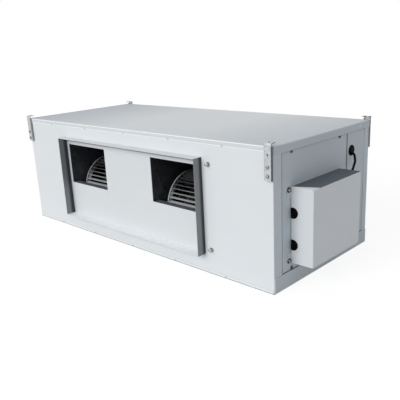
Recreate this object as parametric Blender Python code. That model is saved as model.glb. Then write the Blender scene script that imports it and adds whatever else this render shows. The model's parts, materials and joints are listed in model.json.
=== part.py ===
# Ducted indoor unit: a sheet metal casing with two forward-curved blowers on one motor, a finned
# evaporator, a supply collar at the front, a return opening with sliding filters at the rear and a
# control box on the right end.
# Metres, +Z up. X runs along the casing, the supply side faces -Y and the return side faces +Y.
# The origin is on the floor plane under the centre of the casing.

import math

import bmesh
import bpy
from mathutils import Matrix, Vector

# Sheet metal and clearances
SHEET = 0.0015
FOLD_STEPS = 2
FOLD_ROUNDNESS = 0.5
MITRE_LIMIT = 0.3
ROUND_STEPS = 24
SHAFT_STEPS = 20
GROMMET_STEPS = 18
TUBE_STEPS = 16
SMALL_STEPS = 12
STUB_STEPS = 8
HEXAGON_STEPS = 5
HEXAGON_TURN = math.radians(300)
GAP = 0.0003
WELD = 0.000001
JOIN_INSET = 0.00015
FOLD_RADIUS = 0.0025

# Casing
CASING_LENGTH = 1.300
CASING_DEPTH = 0.550
CASING_HEIGHT = 0.44
COVER_LIP_FRONT = 0.016
COVER_LIP_END = 0.024
CORNER_RELIEF = 0.0035
BASE_LIP = 0.012
BASE_RAIL = 0.050
FRONT_POST = 0.041
REAR_POST = 0.030
ACCESS_SHARE = 0.66
SEAM = 0.0010
PANEL_OVERLAP = 0.012
PANEL_RETURN = 0.008
LINER_THICKNESS = 0.008
LINER_MARGIN = 0.012

# Supply collar and the deck behind it
DECK_RETURN = 0.012
COLLAR_WIDTH = 0.752
COLLAR_TOP_SPACE = 0.058
COLLAR_BOTTOM = 0.064
COLLAR_REACH = 0.0325
COLLAR_FOOT = 0.014

# Blowers
BLOWER_SPACING = 0.492
MOUTH_WIDTH = 0.232
SCROLL_END_SHARE = 1.63556
MOUTH_RISE_SHARE = 0.24
AXLE_SHARE = 0.3863636
LEDGE_LENGTH = 0.034
CUTOFF_CLEARANCE = 0.009
TONGUE_RADIUS = 0.008
SCROLL_SHEET = 0.0012
SCROLL_RIM = 0.005
SCROLL_STEPS = 22
INLET_INSIDE_WHEEL = 0.013
INLET_FLARE = 0.012
INLET_DEPTH = 0.018
INLET_STEPS = 20
INLET_TURN = math.radians(230)
INLET_CURVE_STEPS = 1

# Impellers
WHEEL_SHARE = 0.460227
IMPELLER_WIDTH = 0.180
BLADE_COUNT = 42
BLADE_TURN = 0.25
WHEEL_SIDES = 28
DISC_INTO_BLADES = 0.007
BLADE_DEPTH = 0.0155
BLADE_SWEEP = 0.0090
BLADE_MID_SHARE = 0.22
BLADE_SHEET = 0.0011
RING_THICKNESS = 0.0030
RING_OVERHANG = 0.0022
DISC_THICKNESS = 0.0020
HUB_RADIUS = 0.019
HUB_LENGTH = 0.036

# Motor
SHAFT_RADIUS = 0.010
SHAFT_END = 0.012
ROTOR_RADIUS = 0.044
ROTOR_LENGTH = 0.080
AIR_GAP = 0.0010
MOTOR_RADIUS = 0.078
MOTOR_LENGTH = 0.120
MOTOR_RIBS = 14
RIB_HEIGHT = 0.005
RIB_SECTION = ((0.0, 0), (0.40, 0), (0.44, 1), (0.56, 1), (0.60, 0))
BELL_LENGTH = 0.022
BELL_WALL = 0.004
BOSS_RADIUS = 0.024
BOSS_LENGTH = 0.020
CUSHION_THICKNESS = 0.010
CRADLE_SHEET = 0.003
CRADLE_DEPTH = 0.120
CRADLE_EAR = 0.014
STRAP_SHEET = 0.0015
STRAP_FOOT = 0.014
STRAP_FROM = math.radians(4)

# Evaporator and drain
COIL_END_SPACE = 0.095
COIL_THICKNESS = 0.066
COIL_BEHIND_AXLE = 0.1296
COIL_TOP_SPACE = 0.040
COIL_REAR_SHARE = 0.112727
COIL_CORE = 0.004
FIN_COUNT = 26
FIN_THICKNESS = 0.0022
TUBE_RADIUS = 0.0048
TUBE_PITCH = 0.0254
BEND_STEPS = 4
BEND_SIDES = 5
PAN_HEIGHT = 0.038
PAN_MARGIN = 0.022
GAS_HEADER_RADIUS = 0.0110
GAS_PIPE_RADIUS = 0.0095
GAS_PIPE_HEIGHT = 0.135
GAS_ACROSS = 0.84
LIQUID_HEADER_RADIUS = 0.0070
LIQUID_PIPE_RADIUS = 0.00476
LIQUID_PIPE_HEIGHT = 0.078
LIQUID_ACROSS = 0.40
PIPE_REACH = 0.074
FLARE_NUT_LENGTH = 0.018
FLARE_NUT_SHARE = 1.9
FIRST_STUB = 2.5
HEADER_CLEARANCE = 0.030
SPOUT_RADIUS = 0.0125
SPOUT_WALL = 0.0020
SPOUT_LIFT = 0.0025
SPOUT_REACH = 0.040
PASS_CLEARANCE = 0.0010

# Return opening and filters
RETURN_BOTTOM = 0.052
RETURN_SIDE = 0.090
RETURN_EDGE = 0.010
RAIL_CHANNEL = 0.0140
RAIL_FLANGE = 0.013
RAIL_OVERRUN = 0.030
RAIL_BELOW_HANGER = 0.004
FILTER_PLAY = 0.0010
FILTER_FRAME = 0.014
FILTER_BAR = 0.004
FILTER_MESH = 0.0012
FILTER_CELLS_LONG = 5
FILTER_CELLS_HIGH = 2
FILTER_TAB = 0.016
FILTER_TAB_HEIGHT = 0.060

# Hangers
HANGER_WIDTH = 0.026
HANGER_LENGTH = 0.107
HANGER_STANDOFF = 0.008
HANGER_RISE = 0.012
HANGER_SHEET = 0.0025
HANGER_EAR = 0.0200
HANGER_SLOT = 0.0100
HANGER_SLOT_DEPTH = 0.0130
HANGER_INSET = 0.0005
HANGER_HOLE_RADIUS = 0.0025
HANGER_HOLE_DROP = 0.034

# Control box
BOX_FRONT = 0.087
BOX_WIDTH_SHARE = 0.490909
BOX_BOTTOM = 0.073
BOX_TOP_SPACE = 0.130
BOX_DEPTH = 0.074
BOX_UPSTAND = 0.012
BOX_EAR_WIDTH = 0.022
BOX_EAR_HEIGHT = 0.020
BOX_EAR_INSET = 0.012
ENTRY_RADIUS = 0.015
ENTRY_UPPER_SHARE = 0.667
ENTRY_LOWER_SHARE = 0.249
ENTRY_LIP = 0.0020
BOARD_WIDTH = 0.150
BOARD_SHARE = 0.464
BOARD_SHEET = 0.0020
STANDOFF_HEIGHT = 0.010
STANDOFF_RADIUS = 0.004
TERMINAL_WIDTH = 0.110
TERMINAL_HEIGHT = 0.024
TERMINAL_DEPTH = 0.026
TERMINAL_WAYS = 6
CAPACITOR_RADIUS = 0.018
CAPACITOR_SHARE = 0.245

# Motor lead
LEAD_RADIUS = 0.0039
LEAD_HOLE_BEHIND_SEAM = 0.029
LEAD_HOLE_DROP = 0.085
LEAD_GROMMET_RADIUS = 0.0152
LEAD_EXIT_DROP = 0.0085
LEAD_EXIT_SHIFT = 0.003
BOX_LEAD_DROP = 0.022
BOX_LEAD_REACH = 0.025
BOX_GROMMET_RADIUS = 0.009
GROMMET_LIP = 0.0025
GROMMET_GROOVE = 0.003
LEAD_SPACING = 0.0085
LEAD_TAIL = 0.012
LEAD_SHAPE = (
    (0.38, 0.02, 0.06),
    (0.58, 0.07, 0.22),
    (0.72, 0.13, 0.41),
    (0.82, 0.28, 0.59),
    (0.93, 0.46, 0.78),
    (1.00, 0.68, 0.93),
    (1.00, 0.87, 1.00),
)

# Planes and levels worked out from the sizes above
FRONT = -CASING_DEPTH / 2
REAR = CASING_DEPTH / 2
END = CASING_LENGTH / 2
STEP_IN = SHEET + GAP
PANEL_OUT = FRONT + STEP_IN
PANEL_IN = PANEL_OUT + SHEET
REAR_OUT = REAR - STEP_IN
REAR_IN = REAR_OUT - SHEET
POST = END - STEP_IN
POST_IN = POST - SHEET
SKIN = POST_IN - GAP
SKIN_IN = SKIN - SHEET
FLOOR_TOP = SHEET + GAP
FOLD_INSIDE = FOLD_RADIUS - SHEET
UNDER_COVER = CASING_HEIGHT - STEP_IN
PANEL_BOTTOM = FLOOR_TOP + FOLD_INSIDE
PANEL_TOP = UNDER_COVER - FOLD_INSIDE
FRONT_POST_END = FRONT + FRONT_POST
REAR_POST_END = REAR - REAR_POST
ACCESS_END = FRONT_POST_END + CASING_DEPTH * ACCESS_SHARE
DECK_FRONT = PANEL_IN + SHEET + 2 * GAP
DECK_REAR = DECK_FRONT + SHEET
COLLAR_TOP = CASING_HEIGHT - COLLAR_TOP_SPACE
COLLAR_HEIGHT = COLLAR_TOP - COLLAR_BOTTOM
IMPELLER_RADIUS = WHEEL_SHARE * CASING_HEIGHT * CASING_DEPTH / (CASING_HEIGHT + CASING_DEPTH)
AXLE_HEIGHT = CASING_HEIGHT * AXLE_SHARE
INLET_RADIUS = IMPELLER_RADIUS - BLADE_DEPTH - INLET_INSIDE_WHEEL
MOUTH_RISE = IMPELLER_RADIUS * MOUTH_RISE_SHARE
MOUTH_BOTTOM = AXLE_HEIGHT + MOUTH_RISE
MOUTH_TOP = AXLE_HEIGHT + IMPELLER_RADIUS * SCROLL_END_SHARE
SCROLL_START = IMPELLER_RADIUS + CUTOFF_CLEARANCE
TONGUE_ANGLE = -math.asin(MOUTH_RISE / SCROLL_START)
AXLE_Y = DECK_REAR + GAP + LEDGE_LENGTH + SCROLL_START * math.cos(TONGUE_ANGLE)
HANGER_TOP = CASING_HEIGHT + HANGER_RISE
HANGER_BOTTOM = HANGER_TOP - HANGER_LENGTH
RAIL_TOP = HANGER_BOTTOM - RAIL_BELOW_HANGER - RAIL_FLANGE
RAIL_BOTTOM = RETURN_BOTTOM - RETURN_EDGE
RETURN_TOP = RAIL_TOP - RETURN_EDGE
RETURN_HALF = END - RETURN_SIDE
RAIL_Y = REAR_OUT + GAP
LIP_Y = RAIL_Y + SHEET + RAIL_CHANNEL
BEARING_X = MOTOR_LENGTH / 2 + BELL_LENGTH
SPAN_BETWEEN_ENDS = 2 * (SKIN_IN - COIL_END_SPACE)


def clear_scene():
    for obj in list(bpy.data.objects):
        bpy.data.objects.remove(obj)


def finish(name, colour, roughness, metallic):
    material = bpy.data.materials.new(name)
    material.use_nodes = True
    shader = material.node_tree.nodes["Principled BSDF"]
    shader.inputs["Base Color"].default_value = (*colour, 1.0)
    shader.inputs["Roughness"].default_value = roughness
    shader.inputs["Metallic"].default_value = metallic
    return material


def make_finishes():
    return {
        "casing": finish("casing_sheet", (0.78, 0.80, 0.82), 0.38, 0.25),
        "zinc": finish("galvanised_sheet", (0.55, 0.57, 0.59), 0.42, 0.8),
        "dark": finish("blower_sheet", (0.20, 0.21, 0.22), 0.5, 0.6),
        "steel": finish("bright_steel", (0.62, 0.63, 0.64), 0.3, 0.9),
        "motor": finish("motor_paint", (0.12, 0.13, 0.14), 0.45, 0.3),
        "alloy": finish("fin_aluminium", (0.80, 0.81, 0.82), 0.35, 0.9),
        "copper": finish("copper_tube", (0.72, 0.40, 0.26), 0.3, 0.95),
        "rubber": finish("black_rubber", (0.02, 0.02, 0.022), 0.7, 0.0),
        "foam": finish("black_foam", (0.05, 0.05, 0.055), 0.95, 0.0),
        "plastic": finish("white_plastic", (0.82, 0.82, 0.80), 0.5, 0.0),
        "board": finish("circuit_board", (0.06, 0.24, 0.12), 0.5, 0.0),
        "filter": finish("filter_mesh", (0.10, 0.10, 0.11), 0.8, 0.0),
    }


def keep_mesh(name, bm, material):
    """One object from a bmesh, its faces turned outwards and its round stretches shaded smooth."""
    bmesh.ops.recalc_face_normals(bm, faces=bm.faces)
    mesh = bpy.data.meshes.new(name)
    bm.to_mesh(mesh)
    bm.free()
    mesh.shade_smooth()
    mesh.set_sharp_from_angle(angle=math.radians(32))
    obj = bpy.data.objects.new(name, mesh)
    bpy.context.scene.collection.objects.link(obj)
    if material:
        mesh.materials.append(material)
    return obj


def add_block(bm, low, high):
    size = [b - a for a, b in zip(low, high)]
    middle = [(a + b) / 2 for a, b in zip(low, high)]
    matrix = Matrix.Translation(middle) @ Matrix.Diagonal((*size, 1.0))
    bmesh.ops.create_cube(bm, size=1.0, matrix=matrix)


def add_rod(bm, start, end, radius, sides=ROUND_STEPS):
    """A straight round bar."""
    start, end = Vector(start), Vector(end)
    turn = (end - start).to_track_quat("Z", "Y").to_matrix().to_4x4()
    bmesh.ops.create_cone(
        bm,
        cap_ends=True,
        segments=sides,
        radius1=radius,
        radius2=radius,
        depth=(end - start).length,
        matrix=Matrix.Translation((start + end) / 2) @ turn,
    )


AXES = {
    "X": lambda along, u, v: (along, u, v),
    "Y": lambda along, u, v: (u, along, v),
    "Z": lambda along, u, v: (u, v, along),
}


def add_prism(bm, outline, axis, start, end):
    """A flat outline pushed along an axis. Its points are the other two coordinates, in X, Y, Z order."""
    face = bm.faces.new([bm.verts.new(AXES[axis](start, u, v)) for u, v in outline])
    pushed = bmesh.ops.extrude_face_region(bm, geom=[face])
    verts = [g for g in pushed["geom"] if isinstance(g, bmesh.types.BMVert)]
    bmesh.ops.translate(bm, verts=verts, vec=AXES[axis](end - start, 0, 0))


def add_turned(bm, profile, steps, centre=(0, 0, 0)):
    """A closed profile of (x, radius) points spun about a line along X through the centre. Points
    on the line are welded."""
    centre = Vector(centre)
    verts = [bm.verts.new(centre + Vector((x, 0, radius))) for x, radius in profile]
    edges = [bm.edges.new((verts[i - 1], verts[i])) for i in range(len(verts))]
    turn = 2 * math.pi
    bmesh.ops.spin(
        bm, geom=verts + edges, cent=centre, axis=(1, 0, 0), angle=turn, steps=steps, use_merge=True
    )
    if min(radius for _, radius in profile) < WELD:
        bmesh.ops.remove_doubles(bm, verts=bm.verts, dist=WELD)


def box_object(name, low, high, material):
    bm = bmesh.new()
    add_block(bm, low, high)
    return keep_mesh(name, bm, material)


def modify(obj, operation, bm, label):
    """Cuts or joins a helper mesh, which stays in the file as a hidden wire shape."""
    helper = keep_mesh(f"{obj.name}_{label}", bm, None)
    helper.hide_render = True
    helper.display_type = "WIRE"
    modifier = obj.modifiers.new(label, "BOOLEAN")
    modifier.operation = operation
    modifier.object = helper
    return helper


def cut(obj, bm, label="cutter"):
    return modify(obj, "DIFFERENCE", bm, label)


def join(obj, bm, label="joined"):
    return modify(obj, "UNION", bm, label)


def rounded(path, radius, steps=3):
    """The path with each inner corner replaced by an arc of that radius."""
    points = [Vector(path[0])]
    for before, corner, after in zip(path, path[1:], path[2:]):
        corner = Vector(corner)
        into = (Vector(before) - corner).normalized()
        out = (Vector(after) - corner).normalized()
        half = into.angle(out) / 2
        reach = radius / math.tan(half)
        centre = corner + (into + out).normalized() * (radius / math.sin(half))
        first = corner + into * reach - centre
        last = corner + out * reach - centre
        turn = first.angle_signed(last)
        for step in range(steps + 1):
            points.append(centre + Matrix.Rotation(-turn * step / steps, 2) @ first)
    points.append(Vector(path[-1]))
    return points


def offset(path, distance):
    """The path moved to its right by a distance, with mitred corners."""
    moved = []
    for index, point in enumerate(path):
        before = path[max(index - 1, 0)]
        after = path[min(index + 1, len(path) - 1)]
        into = (point - before).normalized() if index else (after - point).normalized()
        out = (after - point).normalized() if index < len(path) - 1 else into
        along = (into + out).normalized()
        right = Vector((along.y, -along.x))
        moved.append(point + right * distance / max(along.dot(out), MITRE_LIMIT))
    return moved


def ribbon(path, thickness):
    """The closed outline of a sheet that follows the path and has its thickness on the right."""
    path = [Vector(p) for p in path]
    return path + offset(path, thickness)[::-1]


def folded_sheet(name, plan, lips, place, material):
    """A flat blank whose named sides are folded up. The blank's outer face looks down before it is
    placed. The plan holds (side, x, y) for each corner, clockwise seen from above, where the side
    is named at the corner that it starts from. The thickness lies inside the folds."""
    bm = bmesh.new()
    verts = [bm.verts.new((x, y, 0)) for _, x, y in plan]
    bm.faces.new(verts)
    folds = []
    for (side, _, _), a, b in zip(plan, verts, verts[1:] + verts[:1]):
        height = lips.get(side)
        if height is None:
            continue
        top_a = bm.verts.new((a.co.x, a.co.y, height))
        top_b = bm.verts.new((b.co.x, b.co.y, height))
        bm.faces.new((b, a, top_a, top_b))
        folds.append(bm.edges.get((a, b)))
    bmesh.ops.bevel(
        bm,
        geom=folds,
        offset=FOLD_RADIUS,
        segments=FOLD_STEPS,
        profile=FOLD_ROUNDNESS,
        affect="EDGES",
    )
    bmesh.ops.transform(bm, matrix=place, verts=bm.verts)
    mesh = bpy.data.meshes.new(name)
    bm.to_mesh(mesh)
    bm.free()
    mesh.shade_smooth()
    mesh.set_sharp_from_angle(angle=math.radians(50))
    mesh.materials.append(material)
    obj = bpy.data.objects.new(name, mesh)
    bpy.context.scene.collection.objects.link(obj)
    solid = obj.modifiers.new("thickness", "SOLIDIFY")
    solid.thickness = SHEET
    solid.offset = -1
    solid.use_even_offset = True
    return obj


def even_plan(half_x, half_y):
    """A rectangle with a relief at each corner, so that all four sides can be folded."""
    in_x = half_x - CORNER_RELIEF
    in_y = half_y - CORNER_RELIEF
    return [
        (None, -in_x, -in_y),
        ("left", -half_x, -in_y),
        (None, -half_x, in_y),
        (None, -in_x, in_y),
        ("rear", -in_x, half_y),
        (None, in_x, half_y),
        (None, in_x, in_y),
        ("right", half_x, in_y),
        (None, half_x, -in_y),
        (None, in_x, -in_y),
        ("front", in_x, -half_y),
        (None, -in_x, -half_y),
    ]


def plain_plan(half_x, half_y):
    """A rectangle for a sheet that is folded on facing sides only."""
    return [
        ("left", -half_x, -half_y),
        ("rear", -half_x, half_y),
        ("right", half_x, half_y),
        ("front", half_x, -half_y),
    ]


ALL_SIDES = ("left", "rear", "right", "front")

FACING = {
    "down": Matrix.Identity(4),
    "up": Matrix.Rotation(math.pi, 4, "X"),
    "front": Matrix.Rotation(-math.pi / 2, 4, "X"),
    "rear": Matrix.Rotation(math.pi / 2, 4, "X"),
    "right": Matrix.Rotation(-math.pi / 2, 4, "Y"),
    "left": Matrix.Rotation(math.pi / 2, 4, "Y"),
}


def placed(facing, x, y, z):
    """The matrix that turns a blank's outer face to one side and puts its centre at a point."""
    return Matrix.Translation((x, y, z)) @ FACING[facing]


def sweep(bm, points, radius, sides):
    """A round bar along a polyline, closed at both ends."""
    points = [Vector(p) for p in points]
    rings = []
    across = None
    for index, point in enumerate(points):
        before = points[max(index - 1, 0)]
        after = points[min(index + 1, len(points) - 1)]
        along = (after - before).normalized()
        if across is None:
            across = along.orthogonal()
        across = (across - along * across.dot(along)).normalized()
        other = along.cross(across)
        turns = [2 * math.pi * k / sides for k in range(sides)]
        rings.append(
            [
                bm.verts.new(point + radius * (math.cos(a) * across + math.sin(a) * other))
                for a in turns
            ]
        )
    for ring, following in zip(rings, rings[1:]):
        for k in range(sides):
            j = (k + 1) % sides
            bm.faces.new((ring[k], ring[j], following[j], following[k]))
    bm.faces.new(rings[0][::-1])
    bm.faces.new(rings[-1])


def add_framing(bm, section, left, right, bottom, top):
    """A section of (outward, y) points carried round a rectangle in the XZ plane, mitred at its
    corners."""
    rings = []
    for outward, y in section:
        corners = [
            (left - outward, y, bottom - outward),
            (right + outward, y, bottom - outward),
            (right + outward, y, top + outward),
            (left - outward, y, top + outward),
        ]
        rings.append([bm.verts.new(c) for c in corners])
    for index, ring in enumerate(rings):
        inner = rings[index - 1]
        for k in range(4):
            j = (k + 1) % 4
            bm.faces.new((ring[k], ring[j], inner[j], inner[k]))


def arc(centre, radius, start, end, steps):
    """Points on an arc in a plane, angles in radians."""
    angles = [start + (end - start) * k / steps for k in range(steps + 1)]
    return [(centre[0] + radius * math.cos(a), centre[1] + radius * math.sin(a)) for a in angles]


def casing(metal):
    """The base, the cover and the two long faces with their corner posts."""
    half_depth = CASING_DEPTH / 2
    middle = (PANEL_BOTTOM + PANEL_TOP) / 2
    half_height = (PANEL_TOP - PANEL_BOTTOM) / 2
    base = folded_sheet(
        "base_pan",
        even_plan(END, half_depth),
        {"left": BASE_RAIL, "right": BASE_RAIL, "front": BASE_LIP, "rear": BASE_LIP},
        placed("down", 0, 0, 0),
        metal["casing"],
    )
    folded_sheet(
        "top_cover",
        even_plan(END, half_depth),
        {
            "left": COVER_LIP_END,
            "right": COVER_LIP_END,
            "front": COVER_LIP_FRONT,
            "rear": COVER_LIP_FRONT,
        },
        placed("up", 0, 0, CASING_HEIGHT),
        metal["casing"],
    )
    front = folded_sheet(
        "front_panel",
        plain_plan(POST, half_height),
        {"left": FRONT_POST - STEP_IN, "right": FRONT_POST - STEP_IN},
        placed("front", 0, PANEL_OUT, middle),
        metal["casing"],
    )
    half = COLLAR_WIDTH / 2 + GAP
    opening = bmesh.new()
    add_block(
        opening,
        (-half, PANEL_OUT - SHEET, COLLAR_BOTTOM - GAP),
        (half, PANEL_IN + SHEET, COLLAR_TOP + GAP),
    )
    cut(front, opening, "collar_opening")
    rear = folded_sheet(
        "rear_frame",
        plain_plan(POST, half_height),
        {"left": REAR_POST - STEP_IN, "right": REAR_POST - STEP_IN},
        placed("rear", 0, REAR_OUT, middle),
        metal["casing"],
    )
    opening = bmesh.new()
    add_block(
        opening,
        (-RETURN_HALF, REAR_IN - SHEET, RETURN_BOTTOM),
        (RETURN_HALF, REAR_OUT + SHEET, RETURN_TOP),
    )
    cut(rear, opening, "return_opening")
    return base


def end_panels(metal):
    """An access panel and a narrower rear panel on each end, held behind the corner posts, with a
    foam liner inside the access panel."""
    panels = {}
    middle = (FLOOR_TOP + UNDER_COVER) / 2
    half_height = (UNDER_COVER - FLOOR_TOP) / 2
    access_from = FRONT_POST_END - PANEL_OVERLAP
    access_to = ACCESS_END - SEAM / 2
    rear_from = ACCESS_END + SEAM / 2
    rear_to = REAR_POST_END + PANEL_OVERLAP
    for side, sign in (("right", 1), ("left", -1)):
        for kind, low, high, seam in (
            ("access", access_from, access_to, "rear"),
            ("rear", rear_from, rear_to, "front"),
        ):
            panels[f"{side}_{kind}"] = folded_sheet(
                f"{side}_{kind}_panel",
                plain_plan(half_height, (high - low) / 2),
                {seam: PANEL_RETURN},
                placed(side, sign * SKIN, (low + high) / 2, middle),
                metal["casing"],
            )
        inner = SKIN_IN - GAP
        near, far = sorted((sign * inner, sign * (inner - LINER_THICKNESS)))
        box_object(
            f"{side}_liner",
            (near, FRONT_POST_END + LINER_MARGIN, BASE_RAIL + LINER_MARGIN),
            (far, ACCESS_END - PANEL_RETURN - LINER_MARGIN, UNDER_COVER - LINER_MARGIN),
            metal["foam"],
        )
    return panels


def supply(metal):
    """The supply collar, whose foot lies behind the front panel, and the deck with the mouths."""
    bm = bmesh.new()
    foot_front = PANEL_IN + GAP
    section = [
        (0.0, FRONT - COLLAR_REACH),
        (0.0, foot_front),
        (COLLAR_FOOT, foot_front),
        (COLLAR_FOOT, foot_front + SHEET),
        (-SHEET, foot_front + SHEET),
        (-SHEET, FRONT - COLLAR_REACH),
    ]
    half = COLLAR_WIDTH / 2
    add_framing(bm, section, -half, half, COLLAR_BOTTOM, COLLAR_TOP)
    keep_mesh("supply_collar", bm, metal["zinc"])
    deck = folded_sheet(
        "outlet_deck",
        even_plan(half + COLLAR_FOOT, COLLAR_HEIGHT / 2 + COLLAR_FOOT),
        dict.fromkeys(ALL_SIDES, DECK_RETURN),
        placed("front", 0, DECK_FRONT, (COLLAR_BOTTOM + COLLAR_TOP) / 2),
        metal["zinc"],
    )
    for side, centre in (("left", -BLOWER_SPACING / 2), ("right", BLOWER_SPACING / 2)):
        mouth = bmesh.new()
        add_block(
            mouth,
            (centre - MOUTH_WIDTH / 2, DECK_FRONT - SHEET, MOUTH_BOTTOM),
            (centre + MOUTH_WIDTH / 2, DECK_REAR + SHEET, MOUTH_TOP),
        )
        cut(deck, mouth, f"{side}_mouth")


def scroll_path():
    """The air side of the scroll sheet: along the ledge under the mouth, round the tongue, then a
    spiral whose radius grows evenly with the angle, and straight back to the mouth's top."""
    last = math.pi * 1.5 - TONGUE_ANGLE
    end_radius = MOUTH_TOP - AXLE_HEIGHT
    spiral = []
    for step in range(SCROLL_STEPS + 1):
        turned = last * step / SCROLL_STEPS
        radius = SCROLL_START + (end_radius - SCROLL_START) * turned / last
        angle = TONGUE_ANGLE + turned
        spiral.append((AXLE_Y - radius * math.cos(angle), AXLE_HEIGHT - radius * math.sin(angle)))
    deck_face = DECK_REAR + GAP
    tongue = rounded([(deck_face, MOUTH_BOTTOM), spiral[0], spiral[1]], TONGUE_RADIUS)
    return [tuple(p) for p in tongue[:-1]] + spiral[1:] + [(deck_face, MOUTH_TOP)]


def blower_housing(side, centre, metal):
    """The scroll sheet between two side plates. Each plate has a spun inlet that flares outwards."""
    path = [Vector(p) for p in scroll_path()]
    half = MOUTH_WIDTH / 2
    bm = bmesh.new()
    add_prism(bm, ribbon(path, SCROLL_SHEET), "X", centre - half + GAP, centre + half - GAP)
    keep_mesh(f"{side}_scroll", bm, metal["dark"])
    rim = offset(path, SCROLL_SHEET + SCROLL_RIM)
    rim[0].x = path[0].x
    rim[-1].x = path[-1].x
    outwards = 1 if side == "right" else -1
    for face, sign in (("outer", outwards), ("inner", -outwards)):
        plate_in = centre + sign * half
        plate_out = plate_in + sign * SCROLL_SHEET
        bm = bmesh.new()
        add_prism(bm, rim, "X", plate_in, plate_out)
        plate = keep_mesh(f"{side}_housing_{face}_side", bm, metal["dark"])
        bore = bmesh.new()
        add_rod(
            bore,
            (plate_in - sign * SHEET, AXLE_Y, AXLE_HEIGHT),
            (plate_out + sign * SHEET, AXLE_Y, AXLE_HEIGHT),
            INLET_RADIUS + INLET_FLARE / 2,
            INLET_STEPS,
        )
        cut(plate, bore, "inlet_bore")
        flare_at = (INLET_FLARE, INLET_RADIUS + INLET_FLARE)
        curve = arc(flare_at, INLET_FLARE, math.pi, INLET_TURN, INLET_CURVE_STEPS)
        curve.append((INLET_DEPTH, INLET_RADIUS))
        profile = [(plate_out - sign * p.x, p.y) for p in ribbon(curve, SCROLL_SHEET)]
        bm = bmesh.new()
        add_turned(bm, profile, INLET_STEPS, (0, AXLE_Y, AXLE_HEIGHT))
        join(plate, bm, "spun_inlet")


def blade_outline(angle):
    """One forward-curved blade in the YZ plane: a bent plate, hollow towards the way it turns."""
    inner = IMPELLER_RADIUS - BLADE_DEPTH
    outer = IMPELLER_RADIUS - RING_OVERHANG
    lead = -BLADE_SWEEP / outer
    stations = ((inner, 0.0), ((inner + outer) / 2, lead * BLADE_MID_SHARE), (outer, lead))
    path = []
    for radius, turn in stations:
        a = angle + turn
        path.append(Vector((radius * math.cos(a), radius * math.sin(a))))
    return ribbon(path, BLADE_SHEET)


def impeller(side, centre, metal):
    """A double-inlet wheel: blades from end ring to end ring through one disc on its hub."""
    half = IMPELLER_WIDTH / 2
    steps = WHEEL_SIDES
    rim = IMPELLER_RADIUS - BLADE_DEPTH + DISC_INTO_BLADES
    at = (0, AXLE_Y, AXLE_HEIGHT)
    disc = DISC_THICKNESS / 2
    bore = SHAFT_RADIUS + GAP
    profile = [
        (centre - HUB_LENGTH / 2, bore),
        (centre - HUB_LENGTH / 2, HUB_RADIUS),
        (centre - disc, HUB_RADIUS),
        (centre - disc, rim),
        (centre + disc, rim),
        (centre + disc, HUB_RADIUS),
        (centre + HUB_LENGTH / 2, HUB_RADIUS),
        (centre + HUB_LENGTH / 2, bore),
    ]
    bm = bmesh.new()
    add_turned(bm, profile, steps, at)
    wheel = keep_mesh(f"{side}_impeller", bm, metal["steel"])
    rings = bmesh.new()
    blades = bmesh.new()
    ring_in = IMPELLER_RADIUS - BLADE_DEPTH - RING_OVERHANG
    for sign in (-1, 1):
        near = centre + sign * (half - RING_THICKNESS)
        far = centre + sign * half
        add_turned(
            rings,
            [(near, ring_in), (near, IMPELLER_RADIUS), (far, IMPELLER_RADIUS), (far, ring_in)],
            steps,
            at,
        )
    reach = half - RING_THICKNESS / 2
    for index in range(BLADE_COUNT):
        outline = blade_outline(2 * math.pi * (index + BLADE_TURN) / BLADE_COUNT)
        outline = [(AXLE_Y + p.x, AXLE_HEIGHT + p.y) for p in outline]
        add_prism(blades, outline, "X", centre - reach, centre + reach)
    join(wheel, blades, "blades")
    join(wheel, rings, "end_rings")
    return wheel


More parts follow.
